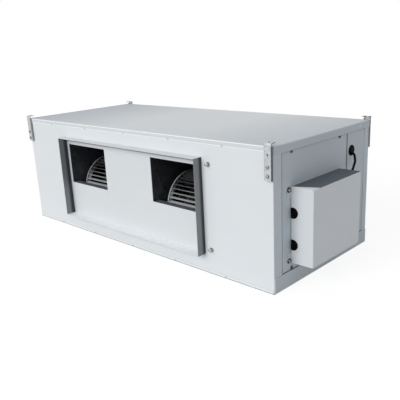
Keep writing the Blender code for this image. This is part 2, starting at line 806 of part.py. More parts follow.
def motor(metal):
    """A double-shaft motor: rotor on the shaft, ribbed stator shell and two end bells with bosses."""
    at = (0, AXLE_Y, AXLE_HEIGHT)
    axle = (AXLE_Y, AXLE_HEIGHT)
    shaft_end = BLOWER_SPACING / 2 + HUB_LENGTH / 2 + SHAFT_END
    bm = bmesh.new()
    add_rod(bm, (-shaft_end, *axle), (shaft_end, *axle), SHAFT_RADIUS, SHAFT_STEPS)
    keep_mesh("motor_shaft", bm, metal["steel"])
    half = ROTOR_LENGTH / 2
    bore = SHAFT_RADIUS + GAP
    bm = bmesh.new()
    profile = [(-half, bore), (-half, ROTOR_RADIUS), (half, ROTOR_RADIUS), (half, bore)]
    add_turned(bm, profile, ROUND_STEPS, at)
    keep_mesh("motor_rotor", bm, metal["steel"])
    outline = []
    shell = MOTOR_RADIUS - RIB_HEIGHT
    pitch = 2 * math.pi / MOTOR_RIBS
    for rib in range(MOTOR_RIBS):
        for share, height in RIB_SECTION:
            radius = shell + height * RIB_HEIGHT
            a = pitch * (rib + share)
            outline.append((AXLE_Y + radius * math.cos(a), AXLE_HEIGHT + radius * math.sin(a)))
    bm = bmesh.new()
    half = MOTOR_LENGTH / 2
    add_prism(bm, outline, "X", -half, half)
    stator = keep_mesh("motor_stator", bm, metal["motor"])
    bm = bmesh.new()
    add_rod(bm, (-half - SHEET, *axle), (half + SHEET, *axle), ROTOR_RADIUS + AIR_GAP)
    cut(stator, bm, "rotor_bore")
    for side, sign in (("left", -1), ("right", 1)):
        rim = half + GAP
        face = BEARING_X
        profile = [
            (rim, shell),
            (face - BELL_LENGTH / 3, shell),
            (face, shell - BELL_LENGTH / 2),
            (face, BOSS_RADIUS),
            (face + BOSS_LENGTH, BOSS_RADIUS),
            (face + BOSS_LENGTH, bore),
            (face - BELL_WALL, bore),
            (face - BELL_WALL, shell - BELL_LENGTH / 2 - BELL_WALL),
            (rim, shell - BELL_WALL),
        ]
        bm = bmesh.new()
        add_turned(bm, [(sign * x, r) for x, r in profile], GROMMET_STEPS, at)
        keep_mesh(f"motor_bell_{side}", bm, metal["motor"])
        cushion_from = sign * (face + GAP)
        cushion_to = sign * (face + BOSS_LENGTH - GAP)
        inner = BOSS_RADIUS + GAP
        outer = inner + CUSHION_THICKNESS
        bm = bmesh.new()
        add_turned(
            bm,
            [(cushion_from, inner), (cushion_from, outer), (cushion_to, outer), (cushion_to, inner)],
            SHAFT_STEPS,
            at,
        )
        keep_mesh(f"motor_cushion_{side}", bm, metal["rubber"])


def motor_mounting(metal):
    """A cradle with two saddles on a foot plate, and a strap over each rubber cushion."""
    half = CRADLE_DEPTH / 2
    saddle = BOSS_RADIUS + CUSHION_THICKNESS + 2 * GAP
    arm_from = BEARING_X + BOSS_LENGTH / 2 - CRADLE_SHEET / 2
    arm_to = arm_from + CRADLE_SHEET
    foot_top = FLOOR_TOP + CRADLE_SHEET
    shelf = AXLE_HEIGHT - GAP
    bm = bmesh.new()
    add_block(
        bm,
        (-arm_to, AXLE_Y - half, FLOOR_TOP),
        (arm_to, AXLE_Y + half, foot_top),
    )
    cradle = keep_mesh("motor_cradle", bm, metal["zinc"])
    for side, sign in (("left", -1), ("right", 1)):
        outline = [(AXLE_Y - half, FLOOR_TOP + SHEET), (AXLE_Y - half, shelf)]
        outline += arc((AXLE_Y, AXLE_HEIGHT), saddle, math.pi, 2 * math.pi, SMALL_STEPS)[1:-1]
        outline += [(AXLE_Y + half, shelf), (AXLE_Y + half, FLOOR_TOP + SHEET)]
        outline.insert(2, (AXLE_Y - saddle, shelf))
        outline.insert(-2, (AXLE_Y + saddle, shelf))
        arm = bmesh.new()
        near, far = sorted((sign * arm_from, sign * (arm_to - JOIN_INSET)))
        add_prism(arm, outline, "X", near, far)
        join(cradle, arm, f"{side}_arm")
        ears = bmesh.new()
        reach = arm_from + CRADLE_EAR
        near, far = sorted((sign * (arm_from + SHEET), sign * reach))
        for low, high in (
            (AXLE_Y - half + SHEET, AXLE_Y - saddle - CRADLE_SHEET),
            (AXLE_Y + saddle + CRADLE_SHEET, AXLE_Y + half - SHEET),
        ):
            add_block(ears, (near, low, shelf - CRADLE_SHEET), (far, high, shelf - JOIN_INSET))
        join(cradle, ears, f"{side}_ears")
        top = AXLE_HEIGHT + 2 * GAP
        over = saddle + STRAP_SHEET
        foot = over + STRAP_FOOT
        path = [(AXLE_Y + foot, top), (AXLE_Y + saddle, top)]
        path += arc((AXLE_Y, AXLE_HEIGHT), saddle, STRAP_FROM, math.pi - STRAP_FROM, SMALL_STEPS)
        path += [(AXLE_Y - saddle, top), (AXLE_Y - foot, top)]
        near, far = sorted((sign * (arm_from - SHEET), sign * (arm_from + CRADLE_EAR - SHEET)))
        bm = bmesh.new()
        add_prism(bm, ribbon(path, STRAP_SHEET), "X", near, far)
        keep_mesh(f"motor_strap_{side}", bm, metal["zinc"])


COIL_REAR = REAR_IN - CASING_DEPTH * COIL_REAR_SHARE
COIL_LEAN = COIL_REAR - COIL_THICKNESS - AXLE_Y - COIL_BEHIND_AXLE
COIL_TILT = math.atan(COIL_LEAN / (UNDER_COVER - COIL_TOP_SPACE))
COIL_ACROSS = (math.cos(COIL_TILT), math.sin(COIL_TILT))
COIL_UP = (-math.sin(COIL_TILT), math.cos(COIL_TILT))
PAN_TOP = FLOOR_TOP + SHEET
COIL_FOOT_Y = COIL_REAR - COIL_THICKNESS * COIL_ACROSS[0]
COIL_FOOT_Z = PAN_TOP + GAP
COIL_HEIGHT = (UNDER_COVER - COIL_TOP_SPACE - COIL_FOOT_Z - COIL_THICKNESS * COIL_ACROSS[1]) / COIL_UP[1]
COIL_HALF = SPAN_BETWEEN_ENDS / 2


def on_coil(across, up):
    """A point of the tilted coil in Y and Z, from its lower front corner."""
    return (
        COIL_FOOT_Y + across * COIL_ACROSS[0] + up * COIL_UP[0],
        COIL_FOOT_Z + across * COIL_ACROSS[1] + up * COIL_UP[1],
    )


def coil_fins(metal):
    """Fins on both sides of a core, as one comb pushed up the coil's slope."""
    pitch = (2 * COIL_HALF - FIN_THICKNESS) / (FIN_COUNT - 1)
    front = []
    for index in range(FIN_COUNT):
        low = -COIL_HALF + pitch * index
        high = low + FIN_THICKNESS
        edge = COIL_THICKNESS / 2
        front += [(low, COIL_CORE / 2), (low, edge), (high, edge), (high, COIL_CORE / 2)]
    front[0] = (front[0][0], 0.0)
    front[-1] = (front[-1][0], 0.0)
    outline = front + [(x, -across) for x, across in front[-2:0:-1]]
    bm = bmesh.new()
    add_prism(bm, outline, "Z", 0.0, COIL_HEIGHT)
    middle = on_coil(COIL_THICKNESS / 2, 0.0)
    turn = Matrix.Translation((0, *middle)) @ Matrix.Rotation(COIL_TILT, 4, "X")
    bmesh.ops.transform(bm, matrix=turn, verts=bm.verts)
    return keep_mesh("coil_fins", bm, metal["alloy"])


def coil_ends(metal):
    """A tube sheet on each end of the fins, with the return bends that stand out of it."""
    for side, sign in (("left", -1), ("right", 1)):
        near = sign * (COIL_HALF + GAP)
        far = near + sign * SHEET
        corners = [(0.0, 0.0), (0.0, COIL_HEIGHT), (COIL_THICKNESS, COIL_HEIGHT), (COIL_THICKNESS, 0.0)]
        bm = bmesh.new()
        add_prism(bm, [on_coil(*corner) for corner in corners], "X", near, far)
        sheet = keep_mesh(f"coil_end_{side}", bm, metal["alloy"])
        bends = bmesh.new()
        spread = TUBE_PITCH / 2
        rows = int((COIL_HEIGHT - TUBE_PITCH) / (2 * TUBE_PITCH)) - 1
        for row in range(rows):
            up = TUBE_PITCH * (1 + 2 * row) + (TUBE_PITCH / 2 if side == "left" else TUBE_PITCH)
            path = []
            for step in range(BEND_STEPS + 1):
                a = math.pi * step / BEND_STEPS
                across = COIL_THICKNESS / 2 - spread * math.cos(a)
                y, z = on_coil(across, up)
                path.append((far + sign * (TUBE_RADIUS + spread * math.sin(a)), y, z))
            path.insert(0, (far - sign * SHEET / 2, path[0][1], path[0][2]))
            path.append((far - sign * SHEET / 2, path[-1][1], path[-1][2]))
            sweep(bends, path, TUBE_RADIUS, BEND_SIDES)
        join(sheet, bends, "return_bends")


def drain(metal, panels, base):
    """The pan under the coil and the spout that leads out of the left end."""
    front, _ = on_coil(0.0, 0.0)
    rear, _ = on_coil(COIL_THICKNESS, 0.0)
    low, high = front - PAN_MARGIN, rear + PAN_MARGIN
    half = COIL_HALF + PAN_MARGIN
    pan = folded_sheet(
        "drain_pan",
        even_plan(half, (high - low) / 2),
        dict.fromkeys(ALL_SIDES, PAN_HEIGHT),
        placed("down", 0, (low + high) / 2, FLOOR_TOP),
        metal["plastic"],
    )
    at = ((low + high) / 2, FLOOR_TOP + SPOUT_LIFT + SPOUT_RADIUS)
    inner = SPOUT_RADIUS - SPOUT_WALL
    start = -half - GAP
    end = -END - SPOUT_REACH
    profile = [
        (start, inner),
        (start, SPOUT_RADIUS + SPOUT_WALL),
        (start - SPOUT_WALL, SPOUT_RADIUS + SPOUT_WALL),
        (start - SPOUT_WALL, SPOUT_RADIUS),
        (end, SPOUT_RADIUS),
        (end, inner),
    ]
    bm = bmesh.new()
    add_turned(bm, profile, TUBE_STEPS, (0, *at))
    keep_mesh("drain_spout", bm, metal["plastic"])
    for obj, x, radius in (
        (pan, -half, inner),
        (panels["left_rear"], -SKIN, SPOUT_RADIUS + PASS_CLEARANCE),
        (base, -END, SPOUT_RADIUS + PASS_CLEARANCE),
    ):
        bm = bmesh.new()
        add_rod(bm, (x - SHEET * 2, *at), (x + SHEET * 3, *at), radius, SHAFT_STEPS)
        cut(obj, bm, "spout_hole")


def refrigerant_pipes(metal, panels):
    """A gas header and a liquid header on the left end of the coil, each with its pipe through the
    end panel and a flare nut outside."""
    sheet_face = -COIL_HALF - GAP - SHEET
    sizes = (
        ("liquid", LIQUID_HEADER_RADIUS, LIQUID_PIPE_RADIUS, LIQUID_ACROSS, LIQUID_PIPE_HEIGHT),
        ("gas", GAS_HEADER_RADIUS, GAS_PIPE_RADIUS, GAS_ACROSS, GAS_PIPE_HEIGHT),
    )
    for name, header_radius, pipe_radius, share, height in sizes:
        across = COIL_THICKNESS * share
        foot = (height - COIL_FOOT_Z - across * COIL_ACROSS[1]) / COIL_UP[1]
        x = sheet_face - HEADER_CLEARANCE
        y, z = on_coil(across, foot)
        bm = bmesh.new()
        low = (x, *on_coil(across, foot - header_radius * 2))
        high = (x, *on_coil(across, foot + COIL_HEIGHT / 2))
        add_rod(bm, low, high, header_radius, SMALL_STEPS)
        header = keep_mesh(f"{name}_line", bm, metal["copper"])
        end = -END - PIPE_REACH
        bm = bmesh.new()
        add_rod(bm, (x, y, z), (end, y, z), pipe_radius, SMALL_STEPS)
        join(header, bm, "pipe")
        stubs = bmesh.new()
        for row in range(int(COIL_HEIGHT / (2 * TUBE_PITCH))):
            up = TUBE_PITCH * (2 * row + FIRST_STUB)
            if foot < up < foot + COIL_HEIGHT / 2 - TUBE_PITCH / 2:
                at = on_coil(across, up)
                add_rod(stubs, (x, *at), (sheet_face - GAP, *at), TUBE_RADIUS, STUB_STEPS)
        join(header, stubs, "stubs")
        nut = bmesh.new()
        width = pipe_radius * FLARE_NUT_SHARE
        corners = arc((y, z), width, 0.0, HEXAGON_TURN, HEXAGON_STEPS)
        add_prism(nut, corners, "X", end, end + FLARE_NUT_LENGTH)
        nut = keep_mesh(f"{name}_flare_nut", nut, metal["copper"])
        bm = bmesh.new()
        nut_end = end + FLARE_NUT_LENGTH
        add_rod(bm, (end - SHEET, y, z), (nut_end + SHEET, y, z), pipe_radius + GAP, TUBE_STEPS)
        cut(nut, bm, "thread_bore")
        bm = bmesh.new()
        around = pipe_radius + PASS_CLEARANCE
        add_rod(bm, (-SKIN - SHEET, y, z), (-SKIN + SHEET * 2, y, z), around, TUBE_STEPS)
        cut(panels["left_rear"], bm, f"{name}_hole")


def filter_rails(metal):
    """A folded rail above and one below the return opening, in which the filters slide out."""
    half = RETURN_HALF + RAIL_OVERRUN
    path = [
        (RAIL_Y + SHEET, RAIL_TOP + RAIL_FLANGE),
        (RAIL_Y + SHEET, RAIL_TOP),
        (LIP_Y + SHEET, RAIL_TOP),
        (LIP_Y + SHEET, RAIL_TOP - RAIL_FLANGE),
    ]
    section = ribbon(path, SHEET)
    for name, flip in (("filter_rail_top", False), ("filter_rail_bottom", True)):
        outline = [(p.x, RAIL_TOP + RAIL_BOTTOM - p.y if flip else p.y) for p in section]
        bm = bmesh.new()
        add_prism(bm, outline, "X", -half, half)
        keep_mesh(name, bm, metal["zinc"])


def filters(metal):
    """Two filters side by side: a frame with cross bars round a thin mesh, and a pull tab."""
    low = RAIL_BOTTOM + SHEET + GAP
    high = RAIL_TOP - SHEET - FILTER_PLAY
    near = REAR_OUT + FILTER_PLAY * 3
    far = LIP_Y - GAP
    length = RETURN_HALF + RAIL_OVERRUN / 2
    for side, sign in (("left", -1), ("right", 1)):
        start, end = GAP / 2, length
        bm = bmesh.new()
        bounds = sorted((sign * start, sign * end))
        add_block(bm, (bounds[0], near, low), (bounds[1], far, high))
        filter_frame = keep_mesh(f"{side}_filter", bm, metal["filter"])
        cells = bmesh.new()
        cell = (length - start - FILTER_FRAME * 2 + FILTER_BAR) / FILTER_CELLS_LONG
        rise = (high - low - FILTER_FRAME * 2 + FILTER_BAR) / FILTER_CELLS_HIGH
        middle = (near + far) / 2
        for column in range(FILTER_CELLS_LONG):
            from_x = start + FILTER_FRAME + column * cell
            span = sorted((sign * from_x, sign * (from_x + cell - FILTER_BAR)))
            for row in range(FILTER_CELLS_HIGH):
                from_z = low + FILTER_FRAME + row * rise
                to_z = from_z + rise - FILTER_BAR
                mesh = FILTER_MESH / 2
                add_block(cells, (span[0], near - SHEET, from_z), (span[1], middle - mesh, to_z))
                add_block(cells, (span[0], middle + mesh, from_z), (span[1], far + SHEET, to_z))
        cut(filter_frame, cells, "cells")
        tab = bmesh.new()
        centre = (low + high) / 2
        span = sorted((sign * (end - SHEET), sign * (end + FILTER_TAB)))
        add_block(
            tab,
            (span[0], middle - SHEET, centre - FILTER_TAB_HEIGHT / 2),
            (span[1], middle + SHEET, centre + FILTER_TAB_HEIGHT / 2),
        )
        join(filter_frame, tab, "pull_tab")


def hangers(metal):
    """Four brackets on the long faces by the corners: a channel whose top turns over the cover and
    has a slot open towards the casing for a hanging rod."""
    for face, out in (("front", -1), ("rear", 1)):
        surface = out * CASING_DEPTH / 2
        outer = surface + out * HANGER_STANDOFF
        root = surface + out * GAP
        for side, sign in (("left", -1), ("right", 1)):
            far = sign * (END - HANGER_INSET)
            near = far - sign * HANGER_WIDTH
            plate = outer - out * HANGER_SHEET
            channel = [
                (near, root),
                (near, outer),
                (far, outer),
                (far, root),
                (far - sign * HANGER_SHEET, root),
                (far - sign * HANGER_SHEET, plate),
                (near + sign * HANGER_SHEET, plate),
                (near + sign * HANGER_SHEET, root),
            ]
            bm = bmesh.new()
            add_prism(bm, channel, "Z", HANGER_BOTTOM, HANGER_TOP - HANGER_SHEET / 2)
            bracket = keep_mesh(f"hanger_{face}_{side}", bm, metal["zinc"])
            back = outer - out * HANGER_EAR
            middle = (near + far) / 2
            slot_from = middle - sign * HANGER_SLOT / 2
            slot_to = middle + sign * HANGER_SLOT / 2
            depth = back + out * HANGER_SLOT_DEPTH
            lug = [
                (near, outer),
                (far, outer),
                (far, back),
                (slot_to, back),
                (slot_to, depth),
                (slot_from, depth),
                (slot_from, back),
                (near, back),
            ]
            bm = bmesh.new()
            add_prism(bm, lug, "Z", HANGER_TOP - HANGER_SHEET, HANGER_TOP)
            join(bracket, bm, "lug")
            hole = bmesh.new()
            height = HANGER_TOP - HANGER_HOLE_DROP
            add_rod(
                hole,
                (middle, outer + out * SHEET, height),
                (middle, root, height),
                HANGER_HOLE_RADIUS,
                SMALL_STEPS,
            )
            cut(bracket, hole, "pilot_hole")


BOX_BACK = SKIN + GAP
BOX_RIM = BOX_BACK + SHEET + GAP
BOX_FACE = END + BOX_DEPTH
BOX_Y = FRONT + BOX_FRONT
BOX_WIDTH = CASING_DEPTH * BOX_WIDTH_SHARE
BOX_TOP = CASING_HEIGHT - BOX_TOP_SPACE
BOX_HEIGHT = BOX_TOP - BOX_BOTTOM
BOX_MID_Y = BOX_Y + BOX_WIDTH / 2
BOX_MID_Z = BOX_BOTTOM + BOX_HEIGHT / 2
BOX_REAR = BOX_Y + BOX_WIDTH
BOX_LEAD_Z = BOX_TOP - BOX_LEAD_DROP
BOX_LEAD_X = END + BOX_LEAD_REACH


def tray_plan(half_x, half_y):
    """The tray's blank: a rectangle with reliefs and, on its front side, two screw ears."""
    plan = [(side, x, y) if side != "front" else (None, x, y) for side, x, y in even_plan(half_x, half_y)]
    outer = half_x - BOX_EAR_INSET
    inner = outer - BOX_EAR_HEIGHT
    notch = inner - CORNER_RELIEF
    edge, ear = -half_y, -half_y - BOX_EAR_WIDTH
    inset = edge + CORNER_RELIEF
    steps = [(outer, edge), (outer, ear), (inner, ear), (inner, inset), (notch, inset), (notch, edge)]
    right = [(None, x, y) for x, y in steps]
    left = [(None, -x, y) for x, y in steps[::-1]]
    right[-1] = ("front", notch, edge)
    return plan[:-1] + right + left + plan[-1:]


def control_box(metal):
    """A tray with low upstands on the access panel, under a deep cover with two cable notches in
    its front side wall."""
    inside = SHEET + GAP
    tray = folded_sheet(
        "control_box_tray",
        tray_plan(BOX_HEIGHT / 2 - inside, BOX_WIDTH / 2 - inside),
        dict.fromkeys(ALL_SIDES, BOX_UPSTAND),
        placed("left", BOX_BACK, BOX_MID_Y, BOX_MID_Z),
        metal["casing"],
    )
    wall = BOX_FACE - BOX_RIM
    cover = folded_sheet(
        "control_box_cover",
        even_plan(BOX_HEIGHT / 2, BOX_WIDTH / 2),
        dict.fromkeys(ALL_SIDES, wall),
        placed("right", BOX_FACE, BOX_MID_Y, BOX_MID_Z),
        metal["casing"],
    )
    centre_x = END + ENTRY_RADIUS / 3
    flat = BOX_RIM + GAP
    for name, share in (("upper", ENTRY_UPPER_SHARE), ("lower", ENTRY_LOWER_SHARE)):
        height = BOX_BOTTOM + BOX_HEIGHT * share
        notch = bmesh.new()
        add_rod(
            notch,
            (centre_x, BOX_Y - SHEET, height),
            (centre_x, BOX_Y + SHEET * 2, height),
            ENTRY_RADIUS + GAP,
        )
        cut(cover, notch, f"{name}_notch")
        gate = bmesh.new()
        add_block(
            gate,
            (BOX_BACK + SHEET + FOLD_RADIUS, BOX_Y, height - ENTRY_RADIUS),
            (BOX_BACK + BOX_UPSTAND + SHEET, BOX_Y + SHEET * 4, height + ENTRY_RADIUS),
        )
        cut(tray, gate, f"{name}_gate")
        limit = math.acos((flat - centre_x) / ENTRY_RADIUS)
        body = arc((centre_x, height), ENTRY_RADIUS, -limit, limit, GROMMET_STEPS)
        flange_radius = ENTRY_RADIUS + ENTRY_LIP
        limit = math.acos((flat - centre_x) / flange_radius)
        flange = arc((centre_x, height), flange_radius, -limit, limit, GROMMET_STEPS)
        bm = bmesh.new()
        add_prism(bm, body, "Y", BOX_Y - GAP - ENTRY_LIP / 2, BOX_Y + SHEET)
        entry = keep_mesh(f"cable_entry_{name}", bm, metal["rubber"])
        bm = bmesh.new()
        add_prism(bm, flange, "Y", BOX_Y - GAP - ENTRY_LIP, BOX_Y - GAP)
        join(entry, bm, "flange")
    hole = bmesh.new()
    add_rod(
        hole,
        (BOX_LEAD_X, BOX_REAR - SHEET * 2, BOX_LEAD_Z),
        (BOX_LEAD_X, BOX_REAR + SHEET, BOX_LEAD_Z),
        BOX_GROMMET_RADIUS,
    )
    cut(cover, hole, "lead_hole")
    return cover


def electronics(metal):
    """The board on its standoffs, the terminal block and the motor's capacitor on the tray."""
    floor = BOX_BACK + SHEET + GAP
    under = floor + STANDOFF_HEIGHT
    y0 = BOX_Y + BOX_UPSTAND * 2
    height = BOX_HEIGHT * BOARD_SHARE
    z0 = BOX_TOP - height - BOX_UPSTAND * 2
    board = box_object(
        "circuit_board",
        (under, y0, z0),
        (under + BOARD_SHEET, y0 + BOARD_WIDTH, z0 + height),
        metal["board"],
    )
    bm = bmesh.new()
    inset = STANDOFF_RADIUS * 2
    for y in (y0 + inset, y0 + BOARD_WIDTH - inset):
        for z in (z0 + inset, z0 + height - inset):
            add_rod(bm, (floor, y, z), (under + BOARD_SHEET / 2, y, z), STANDOFF_RADIUS, STUB_STEPS)
    join(board, bm, "standoffs")
    low = BOX_BOTTOM + BOX_UPSTAND * 2
    start = BOX_Y + BOX_UPSTAND * 2
    pitch = TERMINAL_WIDTH / TERMINAL_WAYS
    rib = pitch / 5
    top = floor + TERMINAL_DEPTH
    bed = top - TERMINAL_DEPTH / 3
    outline = [(floor, start)]
    for way in range(TERMINAL_WAYS):
        at = start + way * pitch
        outline += [(top, at), (top, at + rib), (bed, at + rib), (bed, at + pitch)]
    last = start + TERMINAL_WIDTH
    outline += [(top, last), (top, last + rib), (floor, last + rib)]
    bm = bmesh.new()
    add_prism(bm, outline, "Z", low, low + TERMINAL_HEIGHT)
    keep_mesh("terminal_block", bm, metal["plastic"])
    x = floor + CAPACITOR_RADIUS
    y = BOX_Y + BOX_WIDTH - BOX_UPSTAND * 2 - CAPACITOR_RADIUS
    bm = bmesh.new()
    top = low + BOX_HEIGHT * CAPACITOR_SHARE
    add_rod(bm, (x, y, low), (x, y, top), CAPACITOR_RADIUS, SHAFT_STEPS)
    keep_mesh("motor_capacitor", bm, metal["plastic"])


def motor_lead(metal, panels):
    """The lead from the end panel's grommet, down beside the control box and into its rear side."""
    hole = (ACCESS_END + LEAD_HOLE_BEHIND_SEAM, CASING_HEIGHT - LEAD_HOLE_DROP)
    bm = bmesh.new()
    add_rod(bm, (SKIN_IN - SHEET, *hole), (SKIN + SHEET, *hole), LEAD_GROMMET_RADIUS)
    cut(panels["right_rear"], bm, "lead_hole")
    neck = LEAD_GROMMET_RADIUS - GAP
    lip = LEAD_GROMMET_RADIUS + GROMMET_LIP
    out = SKIN + GAP
    back = SKIN_IN - GAP
    profile = [
        (out + GROMMET_GROOVE, 0.0),
        (out + GROMMET_GROOVE, neck),
        (out, lip),
        (out, neck),
        (back, neck),
        (back, lip),
        (back - GROMMET_LIP, lip),
        (back - GROMMET_LIP, 0.0),
    ]
    bm = bmesh.new()
    add_turned(bm, profile, GROMMET_STEPS, (0, *hole))
    grommet = keep_mesh("lead_grommet", bm, metal["rubber"])
    leaves = (hole[0] - LEAD_EXIT_SHIFT, hole[1] - LEAD_EXIT_DROP)
    bm = bmesh.new()
    reach = GROMMET_GROOVE * 2
    bore = LEAD_RADIUS + GAP
    add_rod(bm, (back - reach, *leaves), (out + reach, *leaves), bore, GROMMET_STEPS)
    cut(grommet, bm, "lead_bore")
    neck = BOX_GROMMET_RADIUS - GAP
    lip = BOX_GROMMET_RADIUS + GROMMET_LIP
    profile = [
        (GAP + GROMMET_GROOVE, bore),
        (GAP + GROMMET_GROOVE, neck),
        (GAP, lip),
        (GAP, neck),
        (-SHEET - GAP, neck),
        (-SHEET - GAP, lip),
        (-SHEET - GAP - GROMMET_LIP, lip),
        (-SHEET - GAP - GROMMET_LIP, bore),
    ]
    bm = bmesh.new()
    add_turned(bm, profile, GROMMET_STEPS)
    enters = Vector((BOX_LEAD_X, BOX_REAR, BOX_LEAD_Z))
    turn = Matrix.Translation(enters) @ Matrix.Rotation(math.pi / 2, 4, "Z")
    bmesh.ops.transform(bm, matrix=turn, verts=bm.verts)
    keep_mesh("box_grommet", bm, metal["rubber"])
    start = Vector((END, *leaves))
    route = [Vector((back - LEAD_TAIL, *leaves)), start]
    for share in LEAD_SHAPE:
        route.append(start + Vector(share) * (enters - start))
    route += [enters, enters - Vector((0, LEAD_TAIL, 0))]
    curve = bpy.data.curves.new("motor_lead", "CURVE")
    curve.dimensions = "3D"
    curve.bevel_depth = LEAD_RADIUS
    curve.bevel_resolution = 2
    curve.use_fill_caps = True
    points = smooth_route(route, LEAD_SPACING)
    spline = curve.splines.new("POLY")
    spline.points.add(len(points) - 1)
    for point, place in zip(spline.points, points):
        point.co = (*place, 1.0)
    lead = bpy.data.objects.new("motor_lead", curve)
    lead.data.materials.append(metal["rubber"])
    bpy.context.scene.collection.objects.link(lead)


def smooth_route(route, spacing):
    """Points at about an even spacing on the smooth curve through the route's own points."""
    route = [Vector(p) for p in route]
    before = [2 * route[0] - route[1]] + route[:-1]
    after = route[1:] + [2 * route[-1] - route[-2]]
    slopes = [(b - a) / 2 for a, b in zip(before, after)]
    points = [route[0]]
    for k in range(len(route) - 1):
        steps = max(1, round((route[k + 1] - route[k]).length / spacing))
        for step in range(1, steps + 1):
            t = step / steps
            points.append(
                route[k] * (2 * t**3 - 3 * t**2 + 1)
                + slopes[k] * (t**3 - 2 * t**2 + t)
                + route[k + 1] * (3 * t**2 - 2 * t**3)
                + slopes[k + 1] * (t**3 - t**2)
            )
    return points


def build():
    clear_scene()
    metal = make_finishes()
    base = casing(metal)
    panels = end_panels(metal)
    supply(metal)
    for side, centre in (("left", -BLOWER_SPACING / 2), ("right", BLOWER_SPACING / 2)):
        blower_housing(side, centre, metal)
        impeller(side, centre, metal)
    motor(metal)
    motor_mounting(metal)
    coil_fins(metal)
    coil_ends(metal)
    drain(metal, panels, base)
    refrigerant_pipes(metal, panels)
    filter_rails(metal)
    filters(metal)
    hangers(metal)
    control_box(metal)
    electronics(metal)
    motor_lead(metal, panels)


build()
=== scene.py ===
import json
import math

import bmesh
import bpy
import numpy as np
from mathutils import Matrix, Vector

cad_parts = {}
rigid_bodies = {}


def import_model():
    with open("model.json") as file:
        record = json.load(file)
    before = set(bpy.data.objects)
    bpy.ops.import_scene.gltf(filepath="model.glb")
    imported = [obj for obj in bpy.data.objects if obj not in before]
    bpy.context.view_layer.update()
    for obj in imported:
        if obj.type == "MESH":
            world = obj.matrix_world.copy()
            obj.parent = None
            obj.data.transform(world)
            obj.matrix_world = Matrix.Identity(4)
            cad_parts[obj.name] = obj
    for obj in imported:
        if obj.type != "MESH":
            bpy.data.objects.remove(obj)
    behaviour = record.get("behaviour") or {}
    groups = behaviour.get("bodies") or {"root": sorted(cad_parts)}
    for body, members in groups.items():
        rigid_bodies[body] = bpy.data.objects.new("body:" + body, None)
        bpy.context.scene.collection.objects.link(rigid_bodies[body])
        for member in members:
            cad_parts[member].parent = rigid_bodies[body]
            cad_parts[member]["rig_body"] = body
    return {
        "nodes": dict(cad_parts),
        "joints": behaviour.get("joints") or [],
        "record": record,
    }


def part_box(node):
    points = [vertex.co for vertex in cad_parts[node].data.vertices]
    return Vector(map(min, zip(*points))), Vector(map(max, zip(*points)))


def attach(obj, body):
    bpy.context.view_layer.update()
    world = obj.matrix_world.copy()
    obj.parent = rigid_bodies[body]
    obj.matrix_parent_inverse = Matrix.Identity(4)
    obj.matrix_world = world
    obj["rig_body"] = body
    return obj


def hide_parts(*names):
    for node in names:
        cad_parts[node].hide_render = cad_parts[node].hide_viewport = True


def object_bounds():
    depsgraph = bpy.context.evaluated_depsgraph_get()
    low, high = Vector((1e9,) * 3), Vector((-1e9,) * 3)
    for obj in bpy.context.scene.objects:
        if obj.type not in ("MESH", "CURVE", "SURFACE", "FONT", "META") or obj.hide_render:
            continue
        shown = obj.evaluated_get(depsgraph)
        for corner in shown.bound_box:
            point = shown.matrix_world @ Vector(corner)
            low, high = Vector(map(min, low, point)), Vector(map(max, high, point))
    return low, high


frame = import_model()
cadLow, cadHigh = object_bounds()
nodes = frame["nodes"]
joints = {joint["name"]: joint for joint in frame["joints"]}
slotOfNode = {part["node"]: part["material_slot"] for part in frame["record"]["subparts"]}


# The camera, solved from the casing's corners in the picture
camera = {
    "place": (1.50977, -1.43608, 0.72351),
    "turn": (73.5710, 2.7920, 43.7932),
    "lens": 48.56,
    "sensor": 36.0,
    "far": 50,
}
light = {
    "sunTowards": (0.14, 1.0, -0.47),
    "sunStrength": 1.75,
    "sunSize": 36.0,
    "ambient": 0.43,
    "floorColour": (0.64, 0.64, 0.645),
    "floorRoughness": 0.9,
    "floorSize": 14.0,
    "floorGap": 0.0005,
    "floorShare": 0.70,
    "floorGlow": 1.244,
}


def placed(name, data):  # a new object in the scene
    made = bpy.data.objects.new(name, data)
    bpy.context.scene.collection.objects.link(made)
    return made


def makeCamera():
    data = bpy.data.cameras.new("camera")
    data.lens = camera["lens"]
    data.sensor_width = camera["sensor"]
    data.clip_end = camera["far"]
    made = placed("camera", data)
    made.location = camera["place"]
    made.rotation_euler = [math.radians(angle) for angle in camera["turn"]]
    bpy.context.scene.camera = made


# Shader maths: a Wire is a socket, and the usual operators add the nodes

class Wire:
    def __init__(self, tree, socket):
        self.tree = tree
        self.socket = socket

    def maths(self, operation, *values, clamp=False):
        node = self.tree.nodes.new("ShaderNodeMath")
        node.operation = operation
        node.use_clamp = clamp
        for slot, value in zip(node.inputs, values):
            plug(self.tree, slot, value)
        return Wire(self.tree, node.outputs[0])

    def __add__(self, other):
        return self.maths("ADD", self, other)

    def __sub__(self, other):
        return self.maths("SUBTRACT", self, other)

    def __rsub__(self, other):
        return self.maths("SUBTRACT", other, self)

    def __mul__(self, other):
        return self.maths("MULTIPLY", self, other)

    __radd__ = __add__
    __rmul__ = __mul__

    def __gt__(self, other):
        return self.maths("GREATER_THAN", self, other)

    def __lt__(self, other):
        return self.maths("LESS_THAN", self, other)

    def size(self):
        return self.maths("ABSOLUTE", self)

    def larger(self, other):
        return self.maths("MAXIMUM", self, other)

    def within(self, low, high):  # how far it lies from low to high, held between 0 and 1
        reach = self - low
        return reach.maths("MULTIPLY", reach, 1 / (high - low), clamp=True)


def plug(tree, slot, value):
    if isinstance(value, Wire):
        tree.links.new(value.socket, slot)
        return
    short = isinstance(value, (tuple, list)) and len(value) == 3
    if short and len(getattr(slot, "default_value", ())) == 4:
        value = (*value, 1.0)
    slot.default_value = value


